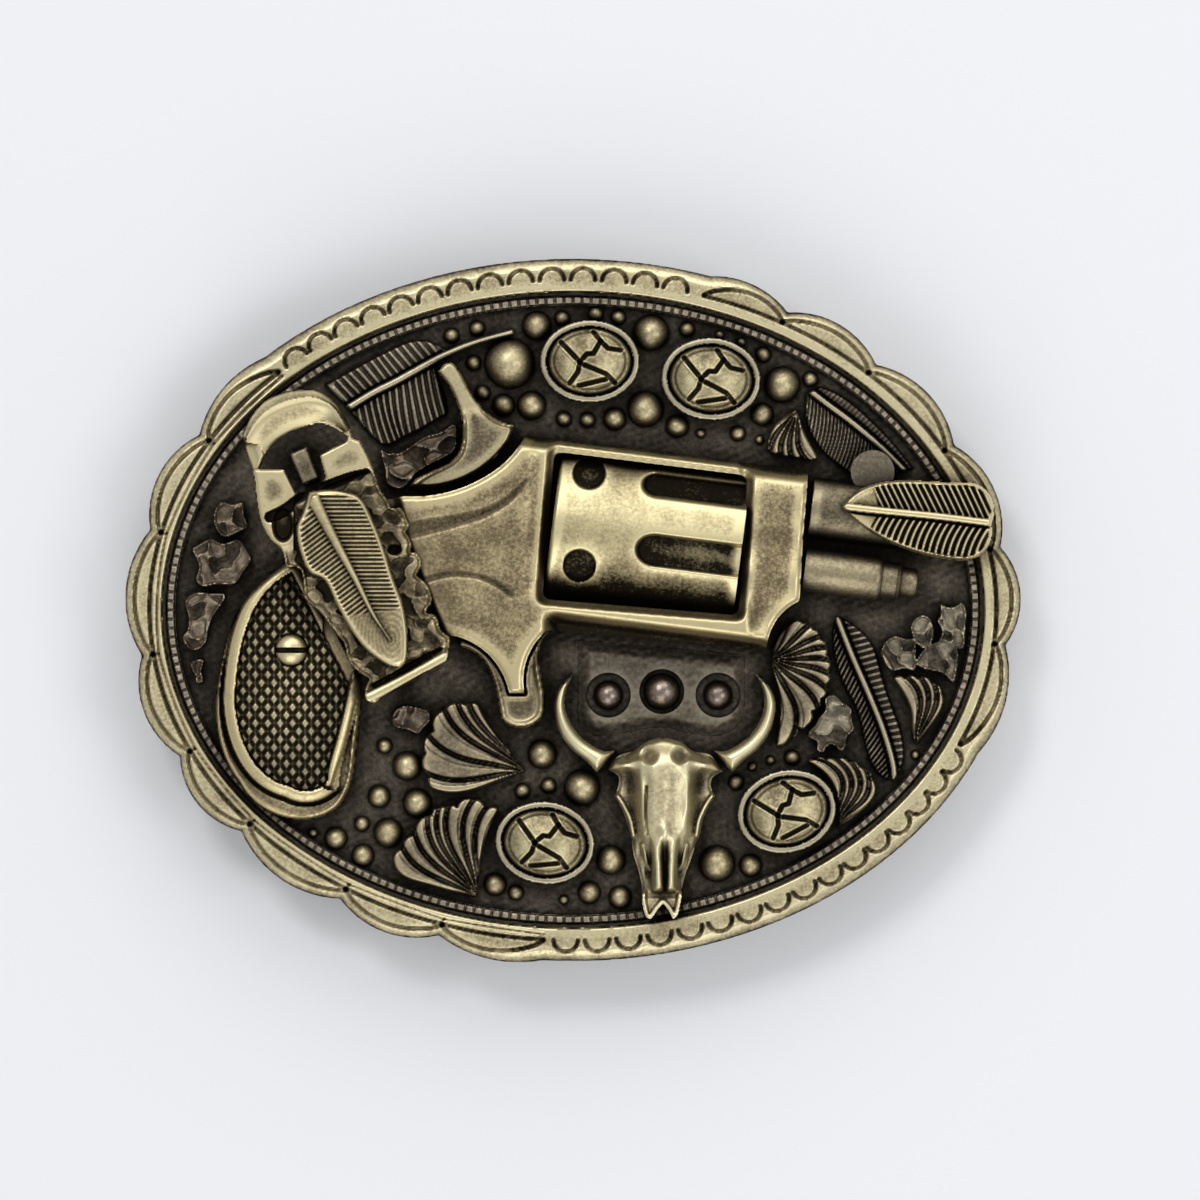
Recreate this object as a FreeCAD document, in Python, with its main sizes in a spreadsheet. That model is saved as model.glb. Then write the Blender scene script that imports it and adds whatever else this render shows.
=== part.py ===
import FreeCAD, Part
import math
import os
import Sketcher
from FreeCAD import Placement, Rotation, Vector

# Western belt buckle with a revolver ornament, in millimetres.
# The buckle lies on its back hardware: X runs along the oval, Y across it, and +Z is
# the outward normal of the decorated face. Z = 0 is the plane under the hook tip and loop lugs.

SIZES = [
    ("oval_half_length", 49.0, "half of the oval plate along X"),
    ("oval_half_width", 38.75, "half of the oval plate along Y"),
    ("scallop_depth", 1.0, "how far a cusp of the edge lies inside the oval"),
    ("scallop_bulge", 0.45, "how far a lobe of the edge swells outside the oval"),
    ("back_height", 7.0, "back face of the plate"),
    ("plate_thickness", 3.8, "plate at its rim"),
    ("rim_width", 3.7, "flat rim around the sunk field"),
    ("field_height", 9.0, "floor of the sunk field, which carries the ornaments"),
    ("back_recess", 0.5, "shallow hollow of the plate's back"),
    ("back_border", 5.0, "border left round that hollow"),
    ("border_inset", 4.6, "centre line of the beaded wire inside the oval"),
    ("border_wire", 1.0, "width of the beaded wire"),
    ("border_rise", 1.3, "height of the beaded wire"),
    ("loop_pivot_x", 20.0, "hinge axis of the belt loop along X"),
    ("loop_pivot_height", 2.6, "hinge axis of the belt loop above the table"),
    ("loop_wire_radius", 1.5, "round wire of the belt loop"),
    ("loop_reach", 14.0, "hinge axis to the centre of the loop's bar"),
    ("loop_half_width", 21.5, "centre line of each arm of the loop"),
    ("loop_pin_end", 16.2, "where each turned-in end of the wire stops"),
    ("loop_corner", 3.0, "bend of the wire beside its bar"),
    ("loop_elbow", 2.2, "bend of the wire beside its hinge"),
    ("lug_middle", 17.5, "middle of each lug along Y"),
    ("lug_thickness", 3.0, "each lug along Y"),
    ("lug_flare", 1.0, "how far each side of a lug spreads at the plate"),
    ("lug_play", 0.06, "radial play of the wire in its lugs"),
    ("hook_x", -28.0, "foot of the hook peg along X"),
    ("hook_radius", 2.0, "hook peg"),
    ("hook_lean", 15.0, "lean of the hook peg away from the middle, degrees"),
    ("hook_collar", 3.2, "radius of the collar at the foot of the hook"),
    ("hook_collar_flare", 0.5, "how much wider the collar starts above the plate's back"),
    ("hook_collar_rise", 2.2, "collar along the peg, from the plate's back"),
    ("gun_slope", 7.2, "fall of the barrel line, degrees"),
    ("frame_rise", 5.5, "revolver frame above the field"),
    ("neck_rise", 4.2, "part of the frame that passes under the latch"),
    ("window_corner", 0.9, "corners of the frame's window"),
    ("drum_radius", 9.5, "curve of the drum's face"),
    ("drum_length", 20.6, "drum along the barrel line"),
    ("drum_width", 16.0, "drum across the barrel line"),
    ("drum_top", 15.4, "highest line of the drum"),
    ("notch_radius", 1.8, "stop notch in the drum"),
    ("notch_height", 5.0, "height cut away above a notch's floor"),
    ("flute_radius", 1.7, "flute along the drum"),
    ("flute_lift", 0.4, "centre of a flute outside the drum's face"),
    ("flute_start", -1.0, "rear end of each flute along the drum"),
    ("barrel_radius", 3.4, "barrel"),
    ("barrel_length", 10.0, "barrel, to its end under the muzzle feather"),
    ("barrel_height", 10.6, "barrel axis"),
    ("pin_height", 11.4, "axis of the drum pin"),
    ("hammer_rise", 5.0, "hammer above the field"),
    ("trigger_rise", 4.0, "trigger above the field"),
    ("grip_rise", 4.5, "grip rim above the field"),
    ("panel_depth", 1.6, "seat of the grip panel"),
    ("panel_thickness", 1.5, "checkered grip panel"),
    ("grip_screw_radius", 1.7, "head of the grip screw"),
    ("grip_screw_x", -31.0, "grip screw along X"),
    ("grip_screw_y", -4.4, "grip screw along Y"),
    ("screw_shank", 1.5, "straight part of the grip screw"),
    ("screw_dome", 0.9, "dome of the grip screw"),
    ("screw_slot", 0.5, "width of its slot"),
    ("screw_slot_floor", 1.7, "floor of its slot above the panel's seat"),
    ("cap_height", 11.0, "underside of the feather over the muzzle"),
    ("cap_thickness", 4.0, "feather over the muzzle"),
    ("latch_turn", 22.6, "turn of the latch about Z, degrees"),
    ("latch_x", -19.0, "middle of the latch hinge along X"),
    ("latch_y", -7.2, "middle of the latch hinge along Y"),
    ("latch_pin_height", 12.2, "axis of the latch hinge"),
    ("latch_pin_radius", 0.8, "hinge pin of the latch"),
    ("latch_play", 0.05, "radial play of the latch on its pin"),
    ("latch_ear_radius", 1.4, "hinge ears of the latch"),
    ("latch_width", 6.6, "hinge ears across the latch"),
    ("latch_bottom", 13.7, "underside of the latch plate"),
    ("latch_thickness", 2.2, "latch plate"),
    ("latch_arch_top", 17.2, "top of the latch's arch"),
    ("latch_arch_foot", 11.2, "foot of the arch, clear of the plate's rim"),
    ("latch_feather_rise", 1.6, "feather on the latch plate"),
    ("latch_lug_width", 3.0, "fixed lug between the latch's ears"),
    ("latch_lug_radius", 1.2, "round top of that lug"),
    ("latch_lug_gap", 0.3, "room for the lug between the ears"),
    ("catch_rise", 1.4, "catch above the underside of the latch plate"),
    ("cabochon_length", 5.45, "half length of a stone's setting"),
    ("cabochon_width", 4.5, "half width of a stone's setting"),
    ("bezel_wall", 0.65, "wall of the setting"),
    ("bezel_rise", 2.6, "height of the setting"),
    ("stone_gap", 0.35, "groove between the setting and the stone"),
    ("stone_rise", 3.9, "height of the stone"),
    ("feather_rise", 1.8, "flat feathers and leaves"),
    ("fan_rise", 2.2, "shell fans"),
    ("nugget_rise", 2.4, "rough nuggets"),
    ("disc_radius", 2.4, "smooth disc beside the muzzle"),
    ("disc_rise", 1.3, "thickness of that disc"),
    ("panel_rise", 0.8, "rough panel behind the three studs"),
    ("stud_hollow", 2.5, "round hollow about each stud"),
    ("skull_rise", 3.6, "flat part of the skull"),
    ("skull_top", 15.2, "highest point of the skull"),
    ("dome_foot", 2.8, "foot of the skull's domes above the field"),
    ("nose_foot", 2.0, "underside of the nose end above the field"),
    ("nose_thickness", 2.1, "nose end, over the rim"),
    ("horn_rise", 3.6, "horns"),
]

# Bead radii by size.
BEAD_RADII = [
    ("bead_giant", 2.85),
    ("bead_great", 2.05),
    ("bead_large", 1.65),
    ("bead_middling", 1.3),
    ("bead_small", 0.9),
    ("bead_tiny", 0.55),
]

# Each group of beads: x, y and size.
BEADS = {
    "beads_top": [
        (-7.0, 27.2, "giant"), (-4.0, 31.4, "large"), (-13.4, 30.3, "small"),
        (-10.6, 31.1, "small"), (-1.2, 32.2, "small"), (2.5, 32.7, "small"),
        (5.0, 32.3, "small"), (-11.0, 27.3, "small"), (-10.0, 24.0, "small"),
        (-7.7, 22.6, "middling"), (-4.6, 22.6, "large"), (-1.0, 21.1, "small"),
        (1.6, 21.0, "small"), (4.6, 21.1, "middling"), (8.0, 22.2, "great"),
        (8.6, 30.6, "great"), (12.6, 31.0, "small"), (16.2, 30.4, "tiny"),
        (18.6, 29.6, "tiny"), (21.0, 28.2, "small"), (23.1, 24.9, "great"),
        (26.2, 25.5, "small"), (20.9, 21.6, "middling"), (11.5, 20.3, "middling"),
        (14.1, 19.5, "tiny"), (18.2, 19.5, "small"), (20.6, 18.8, "tiny"),
    ],
    "beads_left": [
        (-20.8, -15.0, "small"), (-18.3, -17.2, "large"), (-21.4, -20.6, "middling"),
        (-17.2, -21.3, "large"), (-23.3, -23.6, "small"), (-20.4, -24.6, "large"),
        (-23.2, -27.1, "middling"), (-26.2, -25.2, "middling"), (-28.7, -24.6, "tiny"),
    ],
    "beads_bottom": [
        (-3.4, -15.9, "large"), (-2.7, -19.4, "small"), (-5.6, -20.0, "small"),
        (1.0, -19.6, "great"), (4.2, -27.6, "large"), (-8.6, -30.3, "middling"),
        (-6.3, -31.2, "small"), (-1.0, -32.0, "tiny"), (1.8, -31.2, "middling"),
        (5.2, -31.7, "middling"), (15.9, -28.0, "great"), (19.6, -28.2, "middling"),
        (18.0, -19.0, "small"), (19.8, -17.3, "tiny"), (21.8, -16.6, "tiny"),
        (24.2, -16.3, "small"), (37.8, -16.0, "tiny"),
    ],
}

# The three studs between the horns.
STUDS = [(3.9, -9.4, "large"), (9.8, -9.0, "great"), (16.0, -9.4, "large")]

# Each stone in its setting: x, y and turn in degrees.
CABOCHONS = {
    "top_left": (1.85, 27.4, 0.0),
    "top_right": (15.2, 25.45, -5.0),
    "bottom_left": (-3.1, -25.65, -8.0),
    "bottom_right": (23.55, -22.2, 15.0),
}

# Directions of the edge's cusps from the oval's centre, as angles of the ellipse.
RIGHT_CUSPS = [336.0, 354.1, 370.6, 388.8, 405.8, 420.4, 432.0]
LEFT_CUSPS = [134.0, 149.2, 166.4, 187.7, 205.3, 220.3, 237.6, 252.0, 266.0]

# Rough lumps, each a closed curve through its points.
LUMPS = {
    "rock_upper_left": [
        [
            (-20.9, 17.6), (-19.4, 17.3), (-17.9, 18.1), (-16.2, 19.2), (-14.4, 19.8),
            (-13.1, 20.6), (-12.7, 18.8), (-13.1, 17.5), (-14.4, 16.6), (-16.2, 15.7),
            (-17.7, 14.4), (-18.9, 13.4), (-20.5, 13.8), (-20.8, 15.4),
        ],
    ],
    "nuggets_left": [
        [
            (-39.4, 11.3), (-38.5, 12.0), (-37.6, 11.7), (-36.5, 11.9), (-36.2, 10.5),
            (-35.9, 9.2), (-37.0, 8.5), (-38.4, 8.0), (-39.3, 8.7), (-39.7, 9.9),
        ],
        [
            (-41.9, 6.9), (-41.1, 7.4), (-39.9, 7.9), (-38.6, 7.4), (-37.0, 7.8),
            (-35.9, 6.6), (-35.4, 5.4), (-36.2, 4.3), (-37.2, 2.8), (-39.2, 2.8),
            (-41.1, 2.6), (-41.7, 3.3), (-41.3, 4.6), (-41.6, 5.6),
        ],
        [
            (-42.9, -2.6), (-42.5, -0.9), (-42.7, 1.2), (-41.4, 2.0), (-39.8, 1.9),
            (-38.4, 1.8), (-38.8, 0.4), (-39.6, -0.7), (-40.1, -2.4), (-40.6, -3.9),
            (-41.8, -4.5), (-42.7, -3.9),
        ],
        [(-41.9, -6.9), (-41.5, -5.4), (-40.7, -5.5), (-40.9, -6.8), (-40.8, -8.0), (-41.5, -8.1)],
    ],
    "nuggets_right": [
        [
            (33.9, -4.4), (34.6, -3.3), (35.7, -2.8), (36.9, -3.1), (37.8, -3.1), (37.8, -4.2),
            (37.9, -5.9), (37.6, -6.8), (36.7, -6.6), (35.7, -6.8), (34.8, -6.5), (34.2, -5.5),
        ],
        [
            (37.2, -2.2), (37.5, -1.1), (38.7, -0.5), (39.5, -1.0),
            (39.8, -2.1), (39.7, -3.3), (39.0, -4.3), (37.9, -3.8),
        ],
        [
            (40.4, 0.9), (41.3, 0.4), (42.2, 0.5), (42.8, 0.9), (43.3, 0.3), (43.4, -1.4),
            (43.3, -3.0), (42.9, -4.3), (41.6, -4.1), (40.2, -3.7), (40.6, -2.4), (40.1, -1.2), (40.5, -0.3),
        ],
        [
            (37.7, -5.7), (38.7, -4.3), (40.1, -3.5), (41.4, -3.8), (42.4, -4.3), (42.5, -5.8),
            (42.3, -7.0), (41.9, -8.1), (41.1, -7.3), (40.0, -6.8), (38.9, -6.6), (38.1, -6.3),
        ],
    ],
    "nugget_rosette": [
        [
            (28.0, -9.5), (28.9, -9.4), (29.8, -10.2), (30.8, -10.9), (30.8, -12.0),
            (31.0, -13.2), (30.3, -14.0), (30.1, -15.0), (29.5, -15.6), (28.7, -14.9),
            (28.1, -15.0), (27.6, -15.7), (26.9, -15.5), (26.8, -14.6), (25.9, -14.0),
            (26.0, -13.4), (26.7, -12.6), (27.1, -11.8), (27.8, -10.8),
        ],
    ],
    "nugget_below_latch": [
        [
            (-20.0, -11.6), (-19.3, -10.7), (-17.9, -10.5), (-16.7, -10.8), (-15.9, -11.2),
            (-15.7, -12.2), (-16.4, -13.0), (-17.0, -13.7), (-18.2, -13.3), (-19.6, -12.9),
        ],
    ],
}

# Shell fans: the point the ribs spring from, a side, the tips of the lobes and the other side.
FANS = {
    "fan_top_right": (
        (24.6, 22.2),
        [(22.9, 21.2), (21.8, 19.6)],
        [(21.5, 17.7), (22.7, 17.2), (23.9, 17.0), (25.2, 16.9), (27.0, 16.7)],
        [(26.2, 18.4), (25.4, 19.9), (25.0, 21.2)],
    ),
    "fan_left": (
        (-5.2, -17.9),
        [(-7.6, -14.8), (-9.2, -12.5)],
        [
            (-10.3, -10.5), (-11.9, -10.4), (-14.3, -11.0), (-15.4, -13.3),
            (-16.3, -15.8), (-15.9, -18.4), (-15.3, -19.8),
        ],
        [(-12.0, -20.1), (-8.8, -19.1)],
    ),
    "fan_bottom": (
        (-10.6, -31.7),
        [(-10.3, -28.5), (-9.8, -26.0), (-9.1, -24.0)],
        [
            (-8.2, -22.0), (-9.6, -21.9), (-11.2, -20.8), (-12.8, -21.7), (-14.0, -21.7),
            (-15.6, -22.6), (-17.5, -24.8), (-18.8, -26.3), (-19.8, -27.8),
        ],
        [(-19.2, -29.0), (-15.9, -30.3), (-13.0, -31.2)],
    ),
    "fan_trigger_side": (
        (21.9, -5.2),
        [(22.4, -3.2)],
        [
            (24.0, -1.3), (25.4, -1.4), (26.5, -2.1), (27.4, -3.2), (28.0, -4.9), (28.2, -6.6),
            (28.0, -8.2), (27.4, -9.8), (26.4, -11.2), (25.8, -12.8), (24.9, -13.0),
            (23.9, -14.3), (22.4, -14.9),
        ],
        [(22.7, -12.2), (22.7, -9.8), (22.2, -7.6)],
    ),
    "fan_right": (
        (37.9, -15.0),
        [(37.3, -13.2), (37.3, -11.6), (36.7, -9.8)],
        [(35.3, -7.5), (36.6, -7.5), (38.0, -7.5), (39.6, -7.9), (40.7, -9.2)],
        [(40.8, -10.6), (39.9, -12.3), (38.8, -13.9)],
    ),
    "fan_bottom_right": (
        (29.1, -24.2),
        [(30.8, -23.1), (32.4, -21.7), (33.4, -20.0)],
        [
            (33.0, -18.6), (31.6, -17.3), (30.4, -16.6), (29.2, -16.4),
            (27.9, -16.5), (26.6, -16.4), (25.9, -16.7),
        ],
        [(27.2, -17.6), (28.4, -19.0), (29.2, -21.0), (29.3, -22.8)],
    ),
}

# How far a lobe of a fan swells, as a share of its width.
LOBE_SWELL = 0.22

# Where the grip meets the revolver frame.
GRIP_JOINT = [(-29.9, 6.3), (-23.8, -5.8)]

# The window of the revolver frame, which the drum stands in.
WINDOW_CORNERS = [(-2.5, 18.0), (19.7, 15.2), (18.7, -1.1), (-3.9, 0.8)]

# Middle of the drum, and the rear ends of the barrel and of the drum's pin.
DRUM_MIDDLE = (8.0, 8.3)
BARREL_START = (26.25, 11.3)
PIN_START = (25.5, 4.5)

# Middle of the smooth disc beside the muzzle.
DISC_MIDDLE = (33.0, 15.2)

# The middle line of the skull's horns along X.
SKULL_AXIS = 10.1

# Domes of the skull: middle, half width and half length.
SKULL_DOMES = {
    "brow_dome": ((10.1, -19.4), 4.6, 4.2),
    "nose_dome": ((9.9, -26.6), 2.4, 5.2),
}

# Stop notches of the drum: x and y from its middle, and the height of the floor above the field.
DRUM_NOTCHES = {"upper": (-7.0, 5.9, 4.2), "lower": (-6.8, -4.3, 4.9)}

# Flutes of the drum: y from its middle.
DRUM_FLUTES = {"upper": 4.9, "lower": -1.6}

# Profile of the stepped drum pin: distance along its axis, and radius.
DRUM_PIN_STEPS = [(0, 2.4), (8.3, 2.4), (8.6, 2.1), (10.4, 2.1), (10.7, 1.6), (12.0, 1.6), (12.6, 1.0)]

# Height of the seat that the grip panel and its screw stand on.
PANEL_SEAT = "sizes.field_height + sizes.grip_rise - sizes.panel_depth"

doc = FreeCAD.newDocument("belt_buckle")
sheet = doc.addObject("Spreadsheet::Sheet", "sizes")


def fill_sheet():
    rows = SIZES + [(alias, radius, "radius of a bead") for alias, radius in BEAD_RADII]
    for row, (alias, value, meaning) in enumerate(rows, start=1):
        sheet.set(f"A{row}", meaning)
        sheet.set(f"B{row}", str(value))
        sheet.setAlias(f"B{row}", alias)
    doc.recompute()


def size(alias):
    return float(sheet.get(alias))


def plane_of(body, role):
    return next(plane for plane in body.Origin.OriginFeatures if plane.Role == role)


def new_body(label, height=None):
    body = doc.addObject("PartDesign::Body", label)
    body.Label = label
    if height:
        body.setExpression("Placement.Base.z", height)
    return body


def new_sketch(body, role="XY_Plane", offset=None):
    sketch = body.newObject("Sketcher::SketchObject", f"{body.Name}_sketch")
    sketch.AttachmentSupport = [(plane_of(body, role), "")]
    sketch.MapMode = "FlatFace"
    if offset:
        sketch.setExpression("AttachmentOffset.Base.z", offset)
    return sketch


def flat(point):
    return Vector(point[0], point[1], 0)


def draw_runs(sketch, start, *runs):
    """Each run lists the points it passes: one for a straight line, two for an arc, more for a curve."""
    here = flat(start)
    for run in runs:
        points = [flat(point) for point in run]
        if len(points) == 1:
            line = Part.LineSegment(here, points[0])
        elif len(points) == 2:
            line = Part.Arc(here, points[0], points[1])
        else:
            line = Part.BSplineCurve()
            line.interpolate([here] + points)
        sketch.addGeometry(line, False)
        here = points[-1]
    return here


def draw_outline(sketch, start, *runs):
    """Runs as above, closed by a straight line where they don't end at the start."""
    end = draw_runs(sketch, start, *runs)
    if end.distanceToPoint(flat(start)) > 1e-6:
        sketch.addGeometry(Part.LineSegment(end, flat(start)), False)


def draw_rounded(sketch, corners, radius):
    """Straight sides between the corners, which are rounded."""
    runs = []
    for before, corner, after in zip(corners[-1:] + corners, corners, corners[1:] + corners[:1]):
        back = (flat(before) - flat(corner)).normalize()
        ahead = (flat(after) - flat(corner)).normalize()
        half_angle = back.getAngle(ahead) / 2
        tangent = radius / math.tan(half_angle)
        centre = flat(corner) + (back + ahead).normalize() * (radius / math.sin(half_angle))
        nearest = centre + (flat(corner) - centre).normalize() * radius
        first = flat(corner) + back * tangent
        last = flat(corner) + ahead * tangent
        runs += [[(first.x, first.y)], [(nearest.x, nearest.y), (last.x, last.y)]]
    draw_outline(sketch, runs[-1][-1], *runs)


def draw_closed_curve(sketch, points):
    curve = Part.BSplineCurve()
    curve.interpolate([flat(point) for point in points], True)
    sketch.addGeometry(curve, False)


def draw_circle(sketch, centre, radius):
    """radius is an expression of the sheet."""
    circle = sketch.addGeometry(Part.Circle(flat(centre), Vector(0, 0, 1), 1.0), False)
    sketch.addConstraint(Sketcher.Constraint("DistanceX", -1, 1, circle, 3, centre[0]))
    sketch.addConstraint(Sketcher.Constraint("DistanceY", -1, 1, circle, 3, centre[1]))
    rule = sketch.addConstraint(Sketcher.Constraint("Radius", circle, 1.0))
    sketch.setExpression(f"Constraints[{rule}]", radius)


def draw_ellipse(sketch, half_length, half_width):
    """Both are expressions of the sheet."""
    first = sketch.addGeometry(Part.Ellipse(Vector(0, 0, 0), 2.0, 1.0), False)
    sketch.exposeInternalGeometry(first)
    sketch.addConstraint(Sketcher.Constraint("Coincident", first, 3, -1, 1))
    sketch.addConstraint(Sketcher.Constraint("Horizontal", first + 1))
    long_rule = sketch.addConstraint(Sketcher.Constraint("Distance", first + 1, 4.0))
    short_rule = sketch.addConstraint(Sketcher.Constraint("Distance", first + 2, 2.0))
    sketch.setExpression(f"Constraints[{long_rule}]", f"2 * ({half_length})")
    sketch.setExpression(f"Constraints[{short_rule}]", f"2 * ({half_width})")


def add_pad(body, sketch, length, both_ways=False):
    pad = body.newObject("PartDesign::Pad", f"{body.Name}_pad")
    pad.Profile = sketch
    pad.setExpression("Length", length)
    if both_ways:
        pad.SideType = "Symmetric"
    return pad


def add_pocket(body, sketch, depth, upwards=False, both_ways=False):
    doc.recompute()
    before = body.Shape.Volume
    pocket = body.newObject("PartDesign::Pocket", f"{body.Name}_pocket")
    pocket.Profile = sketch
    pocket.setExpression("Length", depth)
    pocket.Reversed = upwards
    if both_ways:
        pocket.SideType = "Symmetric"
    doc.recompute()
    if body.Shape.Volume > before - 1e-3:
        raise RuntimeError(f"{pocket.Name} cuts nothing")
    return pocket


def relief(label):
    """Starts an ornament: a body standing on the field, and the sketch of its outline."""
    body = new_body(label, "sizes.field_height")
    return body, new_sketch(body)


def raised_outline(label, rise, start, *runs):
    body, sketch = relief(label)
    draw_outline(sketch, start, *runs)
    add_pad(body, sketch, rise)
    return body


def oval_point(angle, outset=0.0):
    turn = math.radians(angle)
    half_length = size("oval_half_length") + outset
    half_width = size("oval_half_width") + outset
    return (half_length * math.cos(turn), half_width * math.sin(turn))


def draw_scallops(sketch, cusps):
    """The two end cusps lie on the oval and the others inside it."""
    insets = [0.0] + [-size("scallop_depth")] * (len(cusps) - 2) + [0.0]
    for i in range(len(cusps) - 1):
        middle = (cusps[i] + cusps[i + 1]) / 2
        arc = Part.Arc(
            flat(oval_point(cusps[i], insets[i])),
            flat(oval_point(middle, size("scallop_bulge"))),
            flat(oval_point(cusps[i + 1], insets[i + 1])),
        )
        sketch.addGeometry(arc, False)


def draw_oval_stretch(sketch, first_angle, last_angle):
    oval = Part.Ellipse(Vector(0, 0, 0), size("oval_half_length"), size("oval_half_width"))
    stretch = Part.ArcOfEllipse(oval, math.radians(first_angle), math.radians(last_angle))
    sketch.addGeometry(stretch, False)


def make_base_plate():
    body = new_body("base_plate", "sizes.back_height")
    outline = new_sketch(body)
    draw_scallops(outline, RIGHT_CUSPS)
    draw_oval_stretch(outline, RIGHT_CUSPS[-1] - 360, LEFT_CUSPS[0])
    draw_scallops(outline, LEFT_CUSPS)
    draw_oval_stretch(outline, LEFT_CUSPS[-1], RIGHT_CUSPS[0])
    add_pad(body, outline, "sizes.plate_thickness")
    field = new_sketch(body, offset="sizes.plate_thickness")
    draw_ellipse(
        field,
        "sizes.oval_half_length - sizes.rim_width",
        "sizes.oval_half_width - sizes.rim_width",
    )
    add_pocket(body, field, "sizes.back_height + sizes.plate_thickness - sizes.field_height")
    back = new_sketch(body)
    draw_ellipse(
        back,
        "sizes.oval_half_length - sizes.back_border",
        "sizes.oval_half_width - sizes.back_border",
    )
    add_pocket(body, back, "sizes.back_recess", upwards=True)
    return body


def make_beaded_border(grip_frame):
    """The wire runs round the foot of the rim, and stops at each side of the grip."""
    body, sketch = relief("border_wire_blank")
    for side in ("+", "-"):
        draw_ellipse(
            sketch,
            f"sizes.oval_half_length - sizes.border_inset {side} sizes.border_wire / 2",
            f"sizes.oval_half_width - sizes.border_inset {side} sizes.border_wire / 2",
        )
    add_pad(body, sketch, "sizes.border_rise")
    return cut("beaded_border", body, grip_frame)


def make_gun_frame():
    body, neck = relief("gun_frame")
    right_side = [[(25.9, 15.4)], [(25.3, 8.0)], [(24.9, 1.0)], [(22.6, -0.8), (21.3, -4.3)]]
    spur = [[(-2.8, -2.2)], [(-4.9, -5.0), (-5.3, -9.2)], [(-7.0, -9.2)], [(-8.8, -5.4), (-13.2, -2.8)]]
    rear = [[(-12.0, 13.5), (-8.2, 15.6)], [(-6.3, 17.5), (-5.2, 19.3)]]
    draw_outline(
        neck,
        (-5.2, 19.3),
        *right_side,
        *spur,
        [(-17.5, -3.4), (-23.5, -5.6)],
        [(-29.6, 6.5)],
        [(-24.5, 10.6), (-18.5, 12.5)],
        *rear,
    )
    draw_rounded(neck, WINDOW_CORNERS, size("window_corner"))
    add_pad(body, neck, "sizes.neck_rise")
    face = new_sketch(body, offset="sizes.neck_rise")
    draw_outline(face, (-5.2, 19.3), *right_side, *spur, [(-18.9, 12.6)], *rear)
    draw_rounded(face, WINDOW_CORNERS, size("window_corner"))
    add_pad(body, face, "sizes.frame_rise - sizes.neck_rise")
    return body


def gun_placement(part, place, height):
    """Turns a part's X axis to the barrel line and moves it to place; height is an expression."""
    part.Placement = Placement(flat(place), Rotation(Vector(0, 0, 1), 0))
    part.setExpression("Placement.Base.z", height)
    part.setExpression("Placement.Rotation.Angle", "-sizes.gun_slope")
    part.Placement.Rotation.Axis = Vector(0, 0, 1)


def lying_cylinder(name, radius, length, first_x, y, z):
    """A cylinder along X; radius, length and z are expressions, y a number."""
    rod = doc.addObject("Part::Cylinder", name)
    rod.Placement = Placement(Vector(first_x, y, 0), Rotation(Vector(0, 1, 0), 90))
    rod.setExpression("Radius", radius)
    rod.setExpression("Height", length)
    rod.setExpression("Placement.Base.z", z)
    return rod


def upright_cylinder(name, radius, x, y, low, height):
    """radius and height are expressions."""
    rod = doc.addObject("Part::Cylinder", name)
    rod.Placement = Placement(Vector(x, y, low), Rotation())
    rod.setExpression("Radius", radius)
    rod.setExpression("Height", height)
    return rod


def combine(kind, name, parts):
    joined = doc.addObject(kind, name)
    joined.Shapes = parts
    return joined


def cut(name, base, tool):
    result = doc.addObject("Part::Cut", name)
    result.Base = base
    result.Tool = tool
    return result


def drum_flute(name, y, axis_height):
    """A round-ended cutter lying along the drum's face."""
    start = size("flute_start")
    groove = lying_cylinder(f"drum_flute_{name}", "sizes.flute_radius", "sizes.drum_length", start, y, "0")
    end = doc.addObject("Part::Sphere", f"drum_flute_end_{name}")
    end.setExpression("Radius", "sizes.flute_radius")
    end.Placement.Base = Vector(start, y, 0)
    rise = f"{axis_height} + sqrt(pow(sizes.drum_radius + sizes.flute_lift; 2) - {y * y})"
    for cutter in (groove, end):
        cutter.setExpression("Placement.Base.z", rise)
    return [groove, end]


def make_gun_drum():
    """The visible half of the drum, in its own frame: X along the barrel, Z = 0 at the field."""
    axis_height = "sizes.drum_top - sizes.drum_radius - sizes.field_height"
    round_body = lying_cylinder("drum_round", "sizes.drum_radius", "sizes.drum_length", 0, 0, axis_height)
    round_body.setExpression("Placement.Base.x", "-sizes.drum_length / 2")
    block = doc.addObject("Part::Box", "drum_block")
    block.setExpression("Length", "sizes.drum_length")
    block.setExpression("Width", "sizes.drum_width")
    block.setExpression("Height", "sizes.drum_radius")
    block.setExpression("Placement.Base.x", "-sizes.drum_length / 2")
    block.setExpression("Placement.Base.y", "-sizes.drum_width / 2")
    half = combine("Part::MultiCommon", "drum_half", [round_body, block])
    cutters = []
    for name, (x, y, floor) in DRUM_NOTCHES.items():
        label = f"drum_notch_{name}"
        cutters.append(upright_cylinder(label, "sizes.notch_radius", x, y, floor, "sizes.notch_height"))
    for name, y in DRUM_FLUTES.items():
        cutters += drum_flute(name, y, axis_height)
    drum = cut("gun_drum", half, combine("Part::MultiFuse", "drum_cutters", cutters))
    gun_placement(drum, DRUM_MIDDLE, "sizes.field_height")
    return drum


def make_gun_barrel():
    """A round barrel let into the field, so that its underside is flat."""
    axis_height = "sizes.barrel_height - sizes.field_height"
    tube = lying_cylinder("barrel_round", "sizes.barrel_radius", "sizes.barrel_length", 0, 0, axis_height)
    block = doc.addObject("Part::Box", "barrel_block")
    block.setExpression("Length", "sizes.barrel_length")
    block.setExpression("Width", "2 * sizes.barrel_radius")
    block.setExpression("Height", "2 * sizes.barrel_radius")
    block.setExpression("Placement.Base.y", "-sizes.barrel_radius")
    barrel = combine("Part::MultiCommon", "gun_barrel", [tube, block])
    gun_placement(barrel, BARREL_START, "sizes.field_height")
    return barrel


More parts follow.
